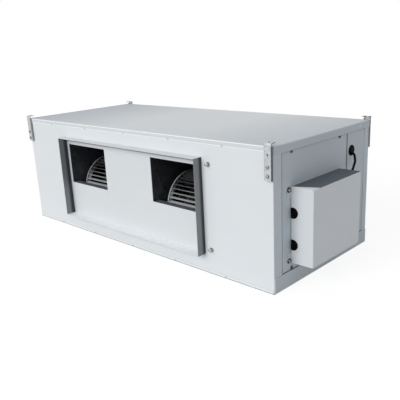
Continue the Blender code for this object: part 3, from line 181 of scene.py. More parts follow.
# A material being wired up: node() adds any node, and set() feeds the shader
class Finish:
    def __init__(self, name, colour, roughness, metallic=0.0):
        self.material = bpy.data.materials.new(name)
        self.material.use_nodes = True
        self.tree = self.material.node_tree
        self.shader = self.tree.nodes["Principled BSDF"]
        self.colour = tuple(colour)
        self.set("Base Color", self.colour)
        self.set("Roughness", roughness)
        self.set("Metallic", metallic)
        self.material.diffuse_color = (*self.colour, 1.0)

    def set(self, slot, value):
        plug(self.tree, self.shader.inputs[slot], value)

    def node(self, kind, settings=(), out=0, inputs=()):
        made = self.tree.nodes.new(kind)
        for key, value in dict(settings).items():
            if key == "stops":
                ramp = made.color_ramp
                while len(ramp.elements) < len(value):
                    ramp.elements.new(0.5)
                for element, (where, level) in zip(ramp.elements, value):
                    element.position = where
                    element.color = (*grey(level), 1.0)
            else:
                setattr(made, key, value)
        for key, value in dict(inputs).items():
            plug(self.tree, made.inputs[key], value)
        return Wire(self.tree, made.outputs[out])

    def place(self):
        return self.node("ShaderNodeTexCoord", out="Object")

    def along(self, axis):
        return self.node("ShaderNodeSeparateXYZ", out=axis, inputs={"Vector": self.place()})

    def facing(self, axis):
        normal = self.node("ShaderNodeTexCoord", out="Normal")
        return self.node("ShaderNodeSeparateXYZ", out=axis, inputs={"Vector": normal})

    def noise(self, scale, detail=2.0, stretch=(1.0, 1.0, 1.0)):
        at = self.node("ShaderNodeMapping", inputs={"Vector": self.place(), "Scale": stretch})
        return self.node("ShaderNodeTexNoise", inputs={"Vector": at, "Scale": scale, "Detail": detail})

    def cells(self, scale, out="Distance"):
        inputs = {"Vector": self.place(), "Scale": scale}
        return self.node("ShaderNodeTexVoronoi", out=out, inputs=inputs)

    def tint(self, factor, first, second):
        inputs = {mix["factor"]: factor, mix["first"]: first, mix["second"]: second}
        return self.node("ShaderNodeMix", {"data_type": "RGBA"}, out=mix["result"], inputs=inputs)

    def ramp(self, value, *stops):
        return self.node("ShaderNodeValToRGB", {"stops": stops}, inputs={"Fac": value})

    def paint(self, pattern, first, second, masks=()):  # a mask's share is of the finish's own colour
        colour = self.tint(pattern, first, second)
        for mask, share in masks:
            colour = self.tint(mask(self), colour, shaded(self.colour, share))
        self.set("Base Color", colour)

    def roughen(self, pattern, least, span):
        self.set("Roughness", pattern * span + least)

    def bump(self, height, strength, distance):
        inputs = {"Height": height, "Strength": strength, "Distance": distance}
        self.set("Normal", self.node("ShaderNodeBump", inputs=inputs))


mix = {"factor": 0, "first": 6, "second": 7, "result": 2}  # the Mix node's colour sockets


def grey(level):
    return (level, level, level)


def shaded(colour, share):  # the share is a number, or one number for each of red, green and blue
    shares = share if isinstance(share, tuple) else grey(share)
    return tuple(part * by for part, by in zip(colour, shares))


# In the settings below a noise is (scale, detail, stretch), a bump is (strength, height in metres),
# and rough is the least roughness and the span above it

# Pale coated sheet: soft clouding as of rolled plate, faint orange peel and an uneven gloss
coat = {
    "roughness": 0.4, "gloss": 0.26, "clouds": (3.4, 4.0), "cloudShare": 0.7, "cloudDepth": 0.075,
    "rolling": (16.0, 3.0, (0.25, 1.0, 1.0)), "smears": (26.0, 3.0), "rough": (0.42, 0.16),
    "peel": (950.0,), "peelBump": (0.06, 0.0004),
}


def coatedSheet(name, colour, masks=()):
    made = Finish(name, colour, coat["roughness"])
    made.set("Specular IOR Level", coat["gloss"])
    clouds = made.noise(*coat["clouds"]) * coat["cloudShare"]
    rolling = made.noise(*coat["rolling"]) * (1 - coat["cloudShare"])
    made.paint(clouds + rolling, shaded(colour, 1 - coat["cloudDepth"]), colour, masks)
    made.roughen(made.noise(*coat["smears"]), *coat["rough"])
    made.bump(made.noise(*coat["peel"]), *coat["peelBump"])
    return made.material


# Zinc coated sheet: spangle cells that differ in tone and gloss, and a dull bloom over them
zinc = {
    "tint": (0.96, 1.0, 1.04), "roughness": 0.36, "bloom": (9.0, 5.0), "cellShare": 0.65,
    "cellRough": 0.16, "bloomRough": 0.14, "leastRough": 0.24, "grain": (520.0,),
    "grainBump": (0.07, 0.0004),
}


def zincSheet(
    name, level, spangle, contrast=0.22, metallic=0.55, zone=None, zoneLevel=0.0, tint=zinc["tint"]
):
    made = Finish(name, grey(level), zinc["roughness"], metallic)
    cell = made.cells(spangle, "Color")
    tone = made.node("ShaderNodeSeparateColor", inputs={"Color": cell})
    bloom = made.noise(*zinc["bloom"])
    mixed = tone * zinc["cellShare"] + bloom * (1 - zinc["cellShare"])
    paint = made.tint(mixed, shaded(tint, level * (1 - contrast)), shaded(tint, level))
    if zone:
        paint = made.tint(zone(made), paint, shaded(tint, zoneLevel))
    made.set("Base Color", paint)
    made.set("Roughness", tone * zinc["cellRough"] + bloom * zinc["bloomRough"] + zinc["leastRough"])
    made.bump(made.noise(*zinc["grain"]), *zinc["grainBump"])
    return made.material


# Finishes of one clouded colour, with a noise each for the colour, the gloss and the relief. Shares
# are the colour's at both ends of its noise, and span is what the gloss noise adds to the roughness.
recipes = {
    # rolled or drawn bright metal has fine streaks along one axis, and a small head an even grain
    "rolled": {
        "noises": [(30.0, 3.0, (1.0, 14.0, 14.0))] * 3, "shares": (0.86, 1.0), "span": 0.2,
        "bump": (0.05, 0.0003),
    },
    "head": {
        "noises": [(30.0, 3.0, (9.0, 9.0, 9.0))] * 3, "shares": (0.86, 1.0), "span": 0.2,
        "bump": (0.05, 0.0003),
    },
    "moulded": {
        "noises": [(11.0, 3.0), (60.0, 3.0), (430.0,)], "shares": (0.92, 1.0), "span": 0.15,
        "bump": (0.09, 0.0003),
    },
    "enamel": {
        "noises": [(20.0, 3.0), (20.0, 3.0), (420.0, 3.0)], "shares": (0.7, 1.0), "span": 0.25,
        "bump": (0.16, 0.0005),
    },
    # black rubber has a fine grain, and dust in patches
    "rubber": {
        "noises": [(45.0, 4.0), (720.0, 3.0), (720.0, 3.0)], "stops": ((0.5, 0.0), (0.85, 1.0)),
        "shares": (1.0, 1.9), "span": 0.2, "bump": (0.14, 0.0003), "gloss": 0.06,
    },
}


def clouded(kind, name, colour, roughness, metallic=0.0, masks=()):
    recipe = recipes[kind]
    made = Finish(name, colour, roughness, metallic)
    clouds, smears, grain = (made.noise(*noise) for noise in recipe["noises"])
    if "stops" in recipe:
        clouds = made.ramp(clouds, *recipe["stops"])
        made.set("Specular IOR Level", recipe["gloss"])
    first, second = (shaded(colour, share) for share in recipe["shares"])
    made.paint(clouds, first, second, masks)
    made.roughen(smears, roughness, recipe["span"])
    made.bump(grain, *recipe["bump"])
    return made.material


# Copper or brass with darker clouds of tarnish and draw lines
tarnish = {
    "roughness": 0.28, "metallic": 0.95, "clouds": (38.0, 4.0), "lines": (60.0, 2.0, (1.0, 9.0, 9.0)),
    "dullStops": ((0.42, 0.0), (0.75, 1.0)), "dullShare": 0.58, "cloudRough": 0.28, "lineRough": 0.1,
    "leastRough": 0.1,
}


def tarnishedMetal(name, colour):
    made = Finish(name, colour, tarnish["roughness"], tarnish["metallic"])
    clouds = made.noise(*tarnish["clouds"])
    lines = made.noise(*tarnish["lines"])
    made.paint(made.ramp(clouds, *tarnish["dullStops"]), colour, shaded(colour, tarnish["dullShare"]))
    rough = clouds * tarnish["cloudRough"] + lines * tarnish["lineRough"]
    made.set("Roughness", rough + tarnish["leastRough"])
    return made.material


# Closed-cell foam: small rounded cells with dark pits
foam = {"level": 0.035, "roughness": 0.9, "cells": 430.0, "pit": 0.018, "wall": 0.06, "bump": (0.6, 0.001)}


def foamSheet(name):
    made = Finish(name, grey(foam["level"]), foam["roughness"])
    cell = made.cells(foam["cells"])
    made.paint(cell, grey(foam["pit"]), grey(foam["wall"]))
    made.bump(cell, *foam["bump"])
    return made.material


# Printed board: green lacquer with darker copper fields and fine tracks under it
board = {
    "colour": (0.02, 0.15, 0.06), "roughness": 0.3, "field": {"Scale": 26.0, "Mortar Size": 0.02},
    "tracks": (120.0, 1.0, (1.0, 1.0, 5.0)), "trackStops": ((0.46, 0.0), (0.52, 1.0)),
    "lacquer": (0.015, 0.13, 0.05), "copper": (0.05, 0.24, 0.1), "rough": (0.25, 0.15),
    "bump": (0.12, 0.0002),
}


def printedBoard(name):
    made = Finish(name, board["colour"], board["roughness"])
    field = made.node("ShaderNodeTexBrick", out="Fac", inputs={"Vector": made.place(), **board["field"]})
    tracks = made.ramp(made.noise(*board["tracks"]), *board["trackStops"])
    made.paint((field + tracks) * 0.5, board["lacquer"], board["copper"])
    made.roughen(tracks, *board["rough"])
    made.bump(tracks, *board["bump"])
    return made.material


# Where a sheet's tone differs, most of it painted light and shade: each returns 1 inside its zone, from the
# place on the sheet
zones = {
    "upright": 0.5, "collarSide": 0.3738, "footFrom": -0.290, "footTo": -0.281, "topShadeFrom": 0.3655,
    "boxTop": 0.3092, "boxBack": 0.6467, "boxFront": -0.188, "wedge": 2.3, "boxEndShare": 0.55,
    "ledgeEnd": -0.233, "ledgeTop": 0.21, "fold": 0.4376, "hemHighlight": 0.4262, "foldFront": -0.2722,
    "coverShift": 0.09, "coverMiddle": 0.18, "coverEnd": 0.66, "hollowLimit": 0.03, "baseHemShade": 0.0034,
}


def sideWall(made):  # the collar's two upright sides, darker: partly a bare zinc tone, partly painted shade
    return made.along("X").size() > zones["collarSide"]


def wallFootShade(made):  # painted shade on the same sides where they meet the casing, as in a deep corner
    return made.along("Y").within(zones["footFrom"], zones["footTo"]) * sideWall(made)


def collarFloorLight(made):  # painted light on the collar's lower sheet, which faces up
    return (made.along("Z") < zones["topShadeFrom"]) * (made.facing("Z") > zones["upright"])


def shadeUnderCollar(made):  # painted shade on the deck under the collar's top sheet
    return made.along("Z") > zones["topShadeFrom"]


def boxLidShadow(made):  # painted shadow on the box's top face: dark behind a slanting line, the edge of the casing's shadow
    slant = (made.along("X") - zones["boxBack"]) - (made.along("Y") - zones["boxFront"]) * zones["wedge"]
    return (made.along("Z") > zones["boxTop"]) * (made.facing("Z") > zones["upright"]) * (slant < 0.0)


def boxSideShade(made):  # painted shade on the box's narrow side, which faces the supply end
    return made.facing("Y") < -zones["upright"]


def endFacingShade(made):  # painted shade on what faces the unit's two ends: turned folds, and the sides of a wheel's rings
    return made.facing("X").size() > zones["upright"]


def flankShade(made):  # painted shade on a bracket's sides that face the ends, darker still at the control box's end
    boxEnd = (made.along("X") > 0.0) * zones["boxEndShare"] + (1 - zones["boxEndShare"])
    return endFacingShade(made) * boxEnd


def ledgeLight(made):  # painted light on the scroll sheet's flat, upward end under the mouth
    flat = made.facing("Z") > zones["upright"]
    return (made.along("Y") < zones["ledgeEnd"]) * (made.along("Z") < zones["ledgeTop"]) * flat


def frontLipShade(made):  # painted shade on the cover's turned-down front lip
    return (made.along("Z") < zones["fold"]) * (made.facing("Y") < -zones["upright"])


def foldHighlight(made):  # painted highlight along the fold at the cover's front edge
    return (made.along("Z") > zones["fold"]) * (made.along("Y") < zones["foldFront"])


def hemHighlight(made):  # painted highlight on the cut edge of the cover's front lip
    return (made.along("Z") < zones["hemHighlight"]) * (made.along("Y") < zones["foldFront"])


def shadeTowardsEnds(made):  # painted shade on the cover's top, growing from its middle to its ends
    far = (made.along("X") - zones["coverShift"]).size()
    return far.within(zones["coverMiddle"], zones["coverEnd"]) * (made.facing("Z") > zones["upright"])


def hollowSideShade(made):  # painted shade on a blade's hollow face, which looks the way the wheel turns
    _, axleY, axleZ = joints["fan_spin"]["pos_m"]
    ahead = made.facing("Z") * (made.along("Y") - axleY) - made.facing("Y") * (made.along("Z") - axleZ)
    return ahead > zones["hollowLimit"]


def baseLip(made):  # the base's lips along the two long faces, lighter than its end rails: on this one sheet the rails' darker end tone is painted shade
    return made.facing("Y").size() > zones["upright"]


def baseHemShade(made):  # painted shade on those lips' lower edge
    return baseLip(made) * (made.along("Z") < zones["baseHemShade"])


# Tones of the coated sheets, and what each zone takes as its share of the tone
tones = {
    "coat": (0.775, 0.81, 0.835), "end": (0.635, 0.705, 0.755), "box": (0.84, 0.88, 0.92),
    # the deck's lower share is painted shade for its recess behind the collar
    "coverShare": 1.06, "deckShadeShare": 0.94,
}
masks = {
    "coat": [(endFacingShade, (0.83, 0.885, 0.92))],
    "cover": [
        (shadeTowardsEnds, (0.65, 0.685, 0.725)), (frontLipShade, 0.81), (foldHighlight, 1.16), (hemHighlight, 1.16),
        (endFacingShade, (0.72, 0.78, 0.82)),
    ],
    "rail": [(baseLip, (1.22, 1.15, 1.107)), (baseHemShade, (0.50, 0.44, 0.40))],
    "box": [(boxSideShade, 0.80), (boxLidShadow, (0.105, 0.122, 0.136))],
    "collar": [(sideWall, 0.33), (wallFootShade, (0.055, 0.065, 0.08)), (collarFloorLight, (1.24, 1.20, 1.17))],
    "deck": [(shadeUnderCollar, 0.42)],
    "blade": [(hollowSideShade, 0.10), (endFacingShade, 0.30)],
}
finishes = {
    "coat": coatedSheet("casingCoat", tones["coat"], masks["coat"]),
    "cover": coatedSheet("coverCoat", shaded(tones["coat"], tones["coverShare"]), masks["cover"]),
    "end": coatedSheet("endPanelCoat", tones["end"]),
    "rail": coatedSheet("baseRailCoat", tones["end"], masks["rail"]),
    "box": coatedSheet("controlBoxCoat", tones["box"], masks["box"]),
    "collar": coatedSheet("collarSheet", tones["coat"], masks["collar"]),
    "deck": coatedSheet("deckCoat", shaded(tones["coat"], tones["deckShadeShare"]), masks["deck"]),
    "zinc": zincSheet("zincSheet", level=0.66, spangle=130.0),
    "bracket": zincSheet(
        "hangerZinc", level=0.68, spangle=320.0, contrast=0.38, metallic=0.45, zone=flankShade, zoneLevel=0.10
    ),
    # the scroll sheet is near-black and blue-tinted: partly its own dark finish, partly painted shade for
    # the dark inside the mouths
    "scroll": zincSheet(
        "scrollSheet", level=0.095, spangle=110.0, contrast=0.4, zone=ledgeLight, zoneLevel=0.30,
        tint=(0.89, 0.97, 1.11)
    ),
    "blade": clouded("rolled", "wheelSheet", (0.90, 0.93, 0.96), 0.2, 0.25, masks["blade"]),
    "shaft": clouded("rolled", "shaftSteel", grey(0.6), 0.24, 0.9),
    "fins": clouded("rolled", "finAluminium", grey(0.74), 0.24, 0.7),
    "screw": clouded("head", "screwZinc", grey(0.50), 0.16, 0.85),
    "paleScrew": clouded("head", "bandScrewZinc", grey(0.66), 0.24, 0.55),
    "bolt": clouded("head", "boltZinc", grey(0.34), 0.14, 0.9),
    "darkScrew": clouded("head", "blackenedScrew", grey(0.11), 0.3, 0.5),
    # painted shade: the wheel's disc and hub are near-black, so the gaps between the blades read as deep
    # shade
    "hub": clouded("enamel", "shadedWheelDisc", (0.02, 0.021, 0.023), 0.25),
    "enamel": clouded("enamel", "motorEnamel", (0.05, 0.055, 0.06), 0.25),
    "plastic": clouded("moulded", "whitePlastic", (0.78, 0.78, 0.75), 0.4),
    "net": clouded("moulded", "filterNet", (0.028, 0.028, 0.03), 0.5),
    "frameBar": clouded("moulded", "filterFrame", (0.06, 0.06, 0.065), 0.45),
    "copper": tarnishedMetal("copperTube", (0.70, 0.40, 0.28)),
    "brass": tarnishedMetal("brassNut", (0.70, 0.57, 0.34)),
    "rubber": clouded("rubber", "blackRubber", grey(0.0015), 0.5),
    "sheath": clouded("rubber", "leadSheath", grey(0.004), 0.5),
    "seal": clouded("rubber", "sealStrip", grey(0.04), 0.5),
    "foam": foamSheet("linerFoam"),
    "board": printedBoard("circuitBoard"),
}

# The record's material slots with their finishes: a slot's plain nodes take the first
finishesOfSlot = {
    "casing_paint": ("coat", "cover", "end", "rail", "box"),
    "galvanised_steel": ("zinc", "bracket", "collar", "deck"),
    "blower_sheet": ("scroll",),
    "wheel_steel": ("shaft", "blade", "hub", "screw", "paleScrew", "darkScrew", "bolt"),
    "motor_paint": ("enamel",), "fin_aluminium": ("fins",), "copper_tube": ("copper", "brass"),
    "black_rubber": ("rubber", "sheath", "seal"), "liner_foam": ("foam",), "white_plastic": ("plastic",),
    "board_green": ("board",), "filter_mesh": ("net", "frameBar"),
}
nodesOfFinish = {  # the nodes that take another finish of their slot
    "deck": ["outlet_deck"], "collar": ["supply_collar"], "cover": ["top_cover"], "rail": ["base_pan"],
    "box": ["control_box_cover"],
    "end": [f"{side}_{panel}_panel" for side in ("left", "right") for panel in ("access", "rear")],
}
finishOfNode = {node: kind for kind, group in nodesOfFinish.items() for node in group}
finishOfNode["control_box_tray"] = "end"
print("finishes:", len(finishes))


# Meshes worked out with numpy: a shape is (points, faces)

def gridFaces(rows, columns, wrapRows=False, wrapColumns=False):  # quads between grid neighbours
    i = np.arange(rows if wrapRows else rows - 1)
    j = np.arange(columns if wrapColumns else columns - 1)
    a, b = np.meshgrid(i, j, indexing="ij")
    c, d = (a + 1) % rows, (b + 1) % columns
    quads = np.stack([a * columns + b, c * columns + b, c * columns + d, a * columns + d], -1)
    return quads.reshape(-1, 4).tolist()


def capped(rings, wrapRows=False):  # rings (rows, columns, 3) closed round, with a face on each end
    rows, columns, _ = rings.shape
    faces = gridFaces(rows, columns, wrapRows, True)
    if not wrapRows:
        last = (rows - 1) * columns
        faces += [list(range(columns)), list(range(last, last + columns))]
    return rings.reshape(-1, 3), faces


def merged(*shapes):
    points = np.concatenate([shape[0] for shape in shapes])
    starts = np.cumsum([0] + [len(shape[0]) for shape in shapes[:-1]])
    faces = [[k + start for k in face] for (_, own), start in zip(shapes, starts.tolist()) for face in own]
    return points, faces


def raised(flat, level):  # outlines (..., 2) given their third coordinate
    return np.concatenate([flat, np.broadcast_to(level, (*flat.shape[:-1], 1))], -1)


def circle(radius, steps, centre=(0.0, 0.0), start=0.0, end=2 * math.pi):  # an arc keeps its last point
    angle = np.linspace(start, end, steps, endpoint=abs(end - start) < 2 * math.pi)
    return np.stack([centre[0] + radius * np.cos(angle), centre[1] + radius * np.sin(angle)], 1)


def unit(vectors):
    return vectors / np.linalg.norm(vectors, axis=-1, keepdims=True)


# How a shape whose own axis is Z stands on a face: where its X, Y and Z go
standing = {
    "+x": ((0, 1, 0), (0, 0, 1), (1, 0, 0)), "-x": ((0, 0, 1), (0, 1, 0), (-1, 0, 0)),
    "+y": ((0, 0, 1), (1, 0, 0), (0, 1, 0)), "-y": ((1, 0, 0), (0, 0, 1), (0, -1, 0)),
    "+z": ((1, 0, 0), (0, 1, 0), (0, 0, 1)),
}


def stood(shape, at, facing, turn=0.0):
    c, s = math.cos(turn), math.sin(turn)
    spin = np.array([[c, s, 0], [-s, c, 0], [0, 0, 1]])
    return shape[0] @ spin @ np.array(standing[facing], float) + np.array(at, float), shape[1]


def repeated(shape, places, facing, turn=0.0):
    return merged(*[stood(shape, at, facing, turn) for at in places])


# A profile of (radius, height) turned about Z: point = (radius_i cos a_j, radius_i sin a_j, height_i)
def turned(profile, steps, closed=False):
    radius, height = np.asarray(profile, float).T[:, :, None, None]
    return capped(raised(radius * circle(1, steps), height), closed)


# A closed section carried along a path: point = path_i + u_j side_i + v_j over_i, where side is
# square to the path and to the given up, and over is square to both
def carried(section, path, up):
    section, path = np.asarray(section, float), np.asarray(path, float)
    along = unit(np.gradient(path, axis=0))
    side = unit(np.cross(along, up))
    over = np.cross(side, along)
    rings = path[:, None] + section[None, :, :1] * side[:, None] + section[None, :, 1:] * over[:, None]
    return capped(rings)


# The outline of a strip: the path moved half the thickness to each side
def strip(path, thickness):
    path = np.asarray(path, float)
    along = unit(np.gradient(path, axis=0))
    side = np.stack([along[:, 1], -along[:, 0]], 1) * thickness / 2
    return np.concatenate([path - side, (path + side)[::-1]])


# Corners rounded by an arc each: the arc's points lie on a circle that touches both sides
def rounded(path, radius, steps=5):
    path = np.asarray(path, float)
    made = [path[:1]]
    for before, corner, after in zip(path[:-2], path[1:-1], path[2:]):
        a, b = unit(before - corner), unit(after - corner)
        half = math.acos(np.clip(a @ b, -1, 1)) / 2
        middle = corner + unit(a + b) * radius / math.sin(half)
        start, end = corner + a * radius / math.tan(half), corner + b * radius / math.tan(half)
        share = np.linspace(0, 1, steps)[:, None]
        bent = start * (1 - share) + end * share - middle
        made.append(middle + unit(bent) * radius)
    return np.concatenate(made + [path[-1:]])


# Closed outlines (count, corners, 2) in two axes, each pushed from low to high along the third;
# low and high are one number, or one for each outline
def pushed(sections, low, high, axis="x"):
    sections = np.asarray(sections, float)
    count, corners, _ = sections.shape
    order = {"x": (2, 0, 1), "y": (0, 2, 1), "z": (0, 1, 2)}[axis]
    level = np.stack([np.broadcast_to(low, count), np.broadcast_to(high, count)], 1)
    rings = raised(np.broadcast_to(sections[:, None], (count, 2, corners, 2)), level[:, :, None, None])
    points = rings[..., list(order)].reshape(-1, 3)
    one = np.array(gridFaces(2, corners, False, True))
    starts = 2 * corners * np.arange(count)
    sides = (one[None] + starts[:, None, None]).reshape(-1, 4).tolist()
    ring = np.arange(corners)[None]
    ends = np.concatenate([ring + starts[:, None], ring + corners + starts[:, None]]).tolist()
    return points, sides + ends


def blocks(lows, highs):  # boxes from (count, 3) low corners and high corners
    (x0, y0, z0), (x1, y1, z1) = np.asarray(lows, float).T, np.asarray(highs, float).T
    corners = [(x0, y0), (x1, y0), (x1, y1), (x0, y1)]
    return pushed(np.transpose(corners, (2, 0, 1)), z0, z1, "z")


stoodFor = set()  # the CAD nodes that a piece stands for
edges = {"smooth": 35.0, "segments": 2, "weight": 100}  # an edge that turns less, in degrees, is smooth


def meshOf(name, shape):  # a tidied mesh of (points, faces)
    mesh = bpy.data.meshes.new(name)
    mesh.from_pydata(shape[0].tolist(), [], shape[1])
    tidied(mesh)
    return mesh


def addPiece(name, shape, kind, body="casing", stands=(), bevel=0.0):
    mesh = meshOf(name, shape)
    mesh.materials.append(finishes[kind])
    finishPiece(placed(name, mesh), body, stands, edges["smooth"], bevel)


def tidied(mesh, weld=1e-7, flat=0.0):  # doubles merged, loose points dropped, faces turned outwards
    work = bmesh.new()
    work.from_mesh(mesh)
    bmesh.ops.remove_doubles(work, verts=work.verts, dist=weld)
    if flat:
        bmesh.ops.dissolve_limit(work, angle_limit=flat, verts=work.verts, edges=work.edges)
    bmesh.ops.delete(work, geom=[point for point in work.verts if not point.link_faces], context="VERTS")
    bmesh.ops.recalc_face_normals(work, faces=work.faces)
    work.to_mesh(mesh)
    work.free()


def finishPiece(piece, body, stands, smooth, bevel):
    piece.data.shade_smooth()
    piece.data.set_sharp_from_angle(angle=math.radians(smooth))
    if bevel:
        edge = piece.modifiers.new("edges", "BEVEL")
        edge.width = bevel
        edge.segments = edges["segments"]
        edge.angle_limit = math.radians(smooth)
        even = piece.modifiers.new("normals", "WEIGHTED_NORMAL")
        even.keep_sharp = True
        even.weight = edges["weight"]
    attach(piece, body)
    for node in stands:
        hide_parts(node)
        stoodFor.add(node)


# A finer copy of a CAD node: its triangles merged into flat faces, round parts shaded smooth and
# its edges rounded a little
refining = {"weld": 2e-6, "flat": math.radians(0.4), "smooth": 32.0, "edge": 0.0003}


def refine(name, bevel):
    node = nodes[name]
    mesh = node.data.copy()
    mesh.name = f"{name}_finished"
    tidied(mesh, refining["weld"], refining["flat"])
    mesh.materials.clear()
    slot = slotOfNode[name]
    mesh.materials.append(finishes[finishOfNode.get(name, finishesOfSlot[slot][0])])
    finishPiece(placed(mesh.name, mesh), node["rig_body"], [name], refining["smooth"], bevel)


# The part's main places, in metres
casing = {
    "end": 0.650, "skin": 0.6464, "front": -0.275, "frontPanel": -0.2732, "rear": 0.275,
    "boxFront": -0.188, "boxRear": 0.082, "gap": 0.0003,
}


# One wheel. Blades lie on a spiral whose angle grows with the square of the radius share, so each is
# hollow towards the way it turns. Rolled end rings and a dished middle disc on a hub hold them.
wheel = {
    "spacing": 0.246, "blades": 42, "stations": 8, "inner": 0.0958, "outer": 0.1114, "sweep": 0.058,
    "sheet": 0.0009, "halfWidth": 0.0895, "inset": 0.0008, "ringSteps": 96, "ring": 0.1078, "rim": 0.1124,
    "disc": 0.0016, "hub": 0.0188, "hubHalf": 0.0178, "hubEdge": 0.001, "hubSteps": 40, "bore": 0.0103,
    # the disc's dish, as (radius, height)
    "dish": ((0.0982, 0), (0.090, 0), (0.086, 0.004), (0.042, 0.004), (0.036, 0), (0.0188, 0)),
    # a rolled ring's section, as (edge, how far out from it, how far in from the wheel's side)
    "section": (
        ("ring", 0, 0.0026), ("ring", -0.0006, 0.0009), ("ring", 0.0006, 0), ("rim", -0.0016, 0),
        ("rim", -0.0003, 0.0006), ("rim", 0, 0.0022), ("rim", -0.0002, 0.0034), ("rim", -0.0012, 0.0034),
        ("rim", -0.0018, 0.0016), ("ring", 0.001, 0.0016), ("ring", 0.0008, 0.0026),
    ),
}


def makeWheel(side, centreX):
    _, y, z = joints["fan_spin"]["pos_m"]
    share = np.linspace(0, 1, wheel["stations"])
    radius = wheel["inner"] + share * (wheel["outer"] - wheel["inner"])
    angle = wheel["sweep"] * share ** 2
    blade = strip(np.stack([radius * np.cos(angle), radius * np.sin(angle)], 1), wheel["sheet"])
    turns = 2 * np.pi * (np.arange(wheel["blades"]) + 0.5) / wheel["blades"]
    c, s = np.cos(turns)[:, None], np.sin(turns)[:, None]
    spun = np.stack([blade[:, 0] * c - blade[:, 1] * s, blade[:, 0] * s + blade[:, 1] * c], -1)
    half, steps = wheel["halfWidth"], wheel["ringSteps"]
    reach = half - wheel["inset"]
    blades = pushed(spun + np.array([y, z]), centreX - reach, centreX + reach)
    section = [(wheel[edge] + out, half - back) for edge, out, back in wheel["section"]]
    rings = [turned([(r, sign * h) for r, h in section], steps, True) for sign in (-1, 1)]
    under = [(r, h - wheel["disc"]) for r, h in wheel["dish"][::-1]]
    disc = turned([*wheel["dish"], *under], steps, True)
    tall, wide, bore, edge = wheel["hubHalf"], wheel["hub"], wheel["bore"], wheel["hubEdge"]
    lower = [(bore, -tall), (wide - edge, -tall), (wide, edge - tall)]
    upper = [(r, -h) for r, h in lower[::-1]]
    hub = turned(lower + upper, wheel["hubSteps"], True)
    at = (centreX, y, z)
    shape = merged(blades, stood(merged(*rings), at, "+x"))
    addPiece(f"{side}_wheel", shape, "blade", "blower_rotor", [f"{side}_impeller"])
    addPiece(f"{side}_wheel_disc", stood(merged(disc, hub), at, "+x"), "hub", "blower_rotor")


# A raised head: height = rise * (rim + (1 - rim) * sqrt(1 - (r / R)^4)), less a cross sunk into it
pan = {
    "rings": 9, "steps": 24, "middle": 0.02, "rim": 0.25, "crossWidth": 0.16, "crossLength": 0.58,
    "crossDepth": 0.55, "sunk": 0.0002,
}


def panHead(radius, rise):
    share = np.concatenate([[1.0], np.linspace(1.0, pan["middle"], pan["rings"])])
    angle = np.linspace(0, 2 * np.pi, pan["steps"], endpoint=False)
    x, y = np.outer(share, np.cos(angle)), np.outer(share, np.sin(angle))
    height = np.sqrt(np.clip(1 - share ** 4, 0, 1))[:, None] * (1 - pan["rim"]) + pan["rim"]
    narrow, wide = np.minimum(abs(x), abs(y)), np.maximum(abs(x), abs(y))
    cross = (narrow < pan["crossWidth"]) & (wide < pan["crossLength"])
    height = (height - pan["crossDepth"] * cross) * rise
    height[0] = -pan["sunk"]
    return capped(np.stack([x * radius, y * radius, height], -1))


# A hexagon head: radius(a) = half the width over cos of the angle from the nearest flat's middle,
# cut by a cone at the top
hexagon = {"steps": 36, "cone": 0.5, "face": 1.02, "crown": 0.86, "chamfer": 0.3}


def hexHead(across, rise, chamfer=hexagon["chamfer"], bore=0.0):
    angle = np.linspace(0, 2 * np.pi, hexagon["steps"], endpoint=False)
    flat = np.mod(angle + np.pi / 6, np.pi / 3) - np.pi / 6
    outline = across / 2 / np.cos(flat)
    face = np.minimum(outline, across / 2 * hexagon["face"])
    shoulder = rise * (1 - chamfer) - (outline - across / 2) * hexagon["cone"]
    rows = [(outline, 0), (outline, shoulder)]
    rows += [(face, rise * (1 - chamfer / 3)), (face * hexagon["crown"], rise)]
    if bore:
        rows += [(angle * 0 + bore, rise), (angle * 0 + bore, 0)]
    rings = [np.stack([r * np.cos(angle), r * np.sin(angle), h + angle * 0], -1) for r, h in rows]
    return capped(np.stack(rings), bool(bore))


# Washers: each one's radius, bore and height
washers = {
    "panel": (0.0056, 0.0022, 0.0009), "ear": (0.0082, 0.0030, 0.0010), "duct": (0.0080, 0.0030, 0.0012),
    "ductHead": (0.0066, 0.0028, 0.0012), "hanger": (0.0058, 0.0025, 0.0010), "edge": 0.3, "steps": 32,
}


def washer(kind):
    radius, bore, rise = washers[kind]
    edge = rise * washers["edge"]
    profile = [(bore, 0), (radius, 0), (radius, rise - edge), (radius - edge, rise), (bore, rise)]
    return turned(profile, washers["steps"], True)


def onWasher(head, kind):  # a head raised by its washer's height
    return stood(head, (0, 0, washers[kind][2]), "+z")


# Heads of the screws that hold the cover, the base, the access panels and the control box
screws = {
    "radius": 0.0036, "rise": 0.0022, "bandX": (-0.464, -0.232, 0.0, 0.232, 0.464),
    "bandZ": 0.4275, "footZ": 0.007, "rearY": 0.205, "bandTurn": 0.4,
    "panelRadius": 0.0042, "panelRise": 0.0026, "panelY": (-0.184, 0.081), "panelZ": (0.4125, 0.057),
    "panelTurn": 0.9, "earRadius": 0.0048, "earRise": 0.003, "earY": -0.1985, "earZ": (0.302, 0.083),
    "earSheet": 0.0018, "earTurn": 0.5,
}


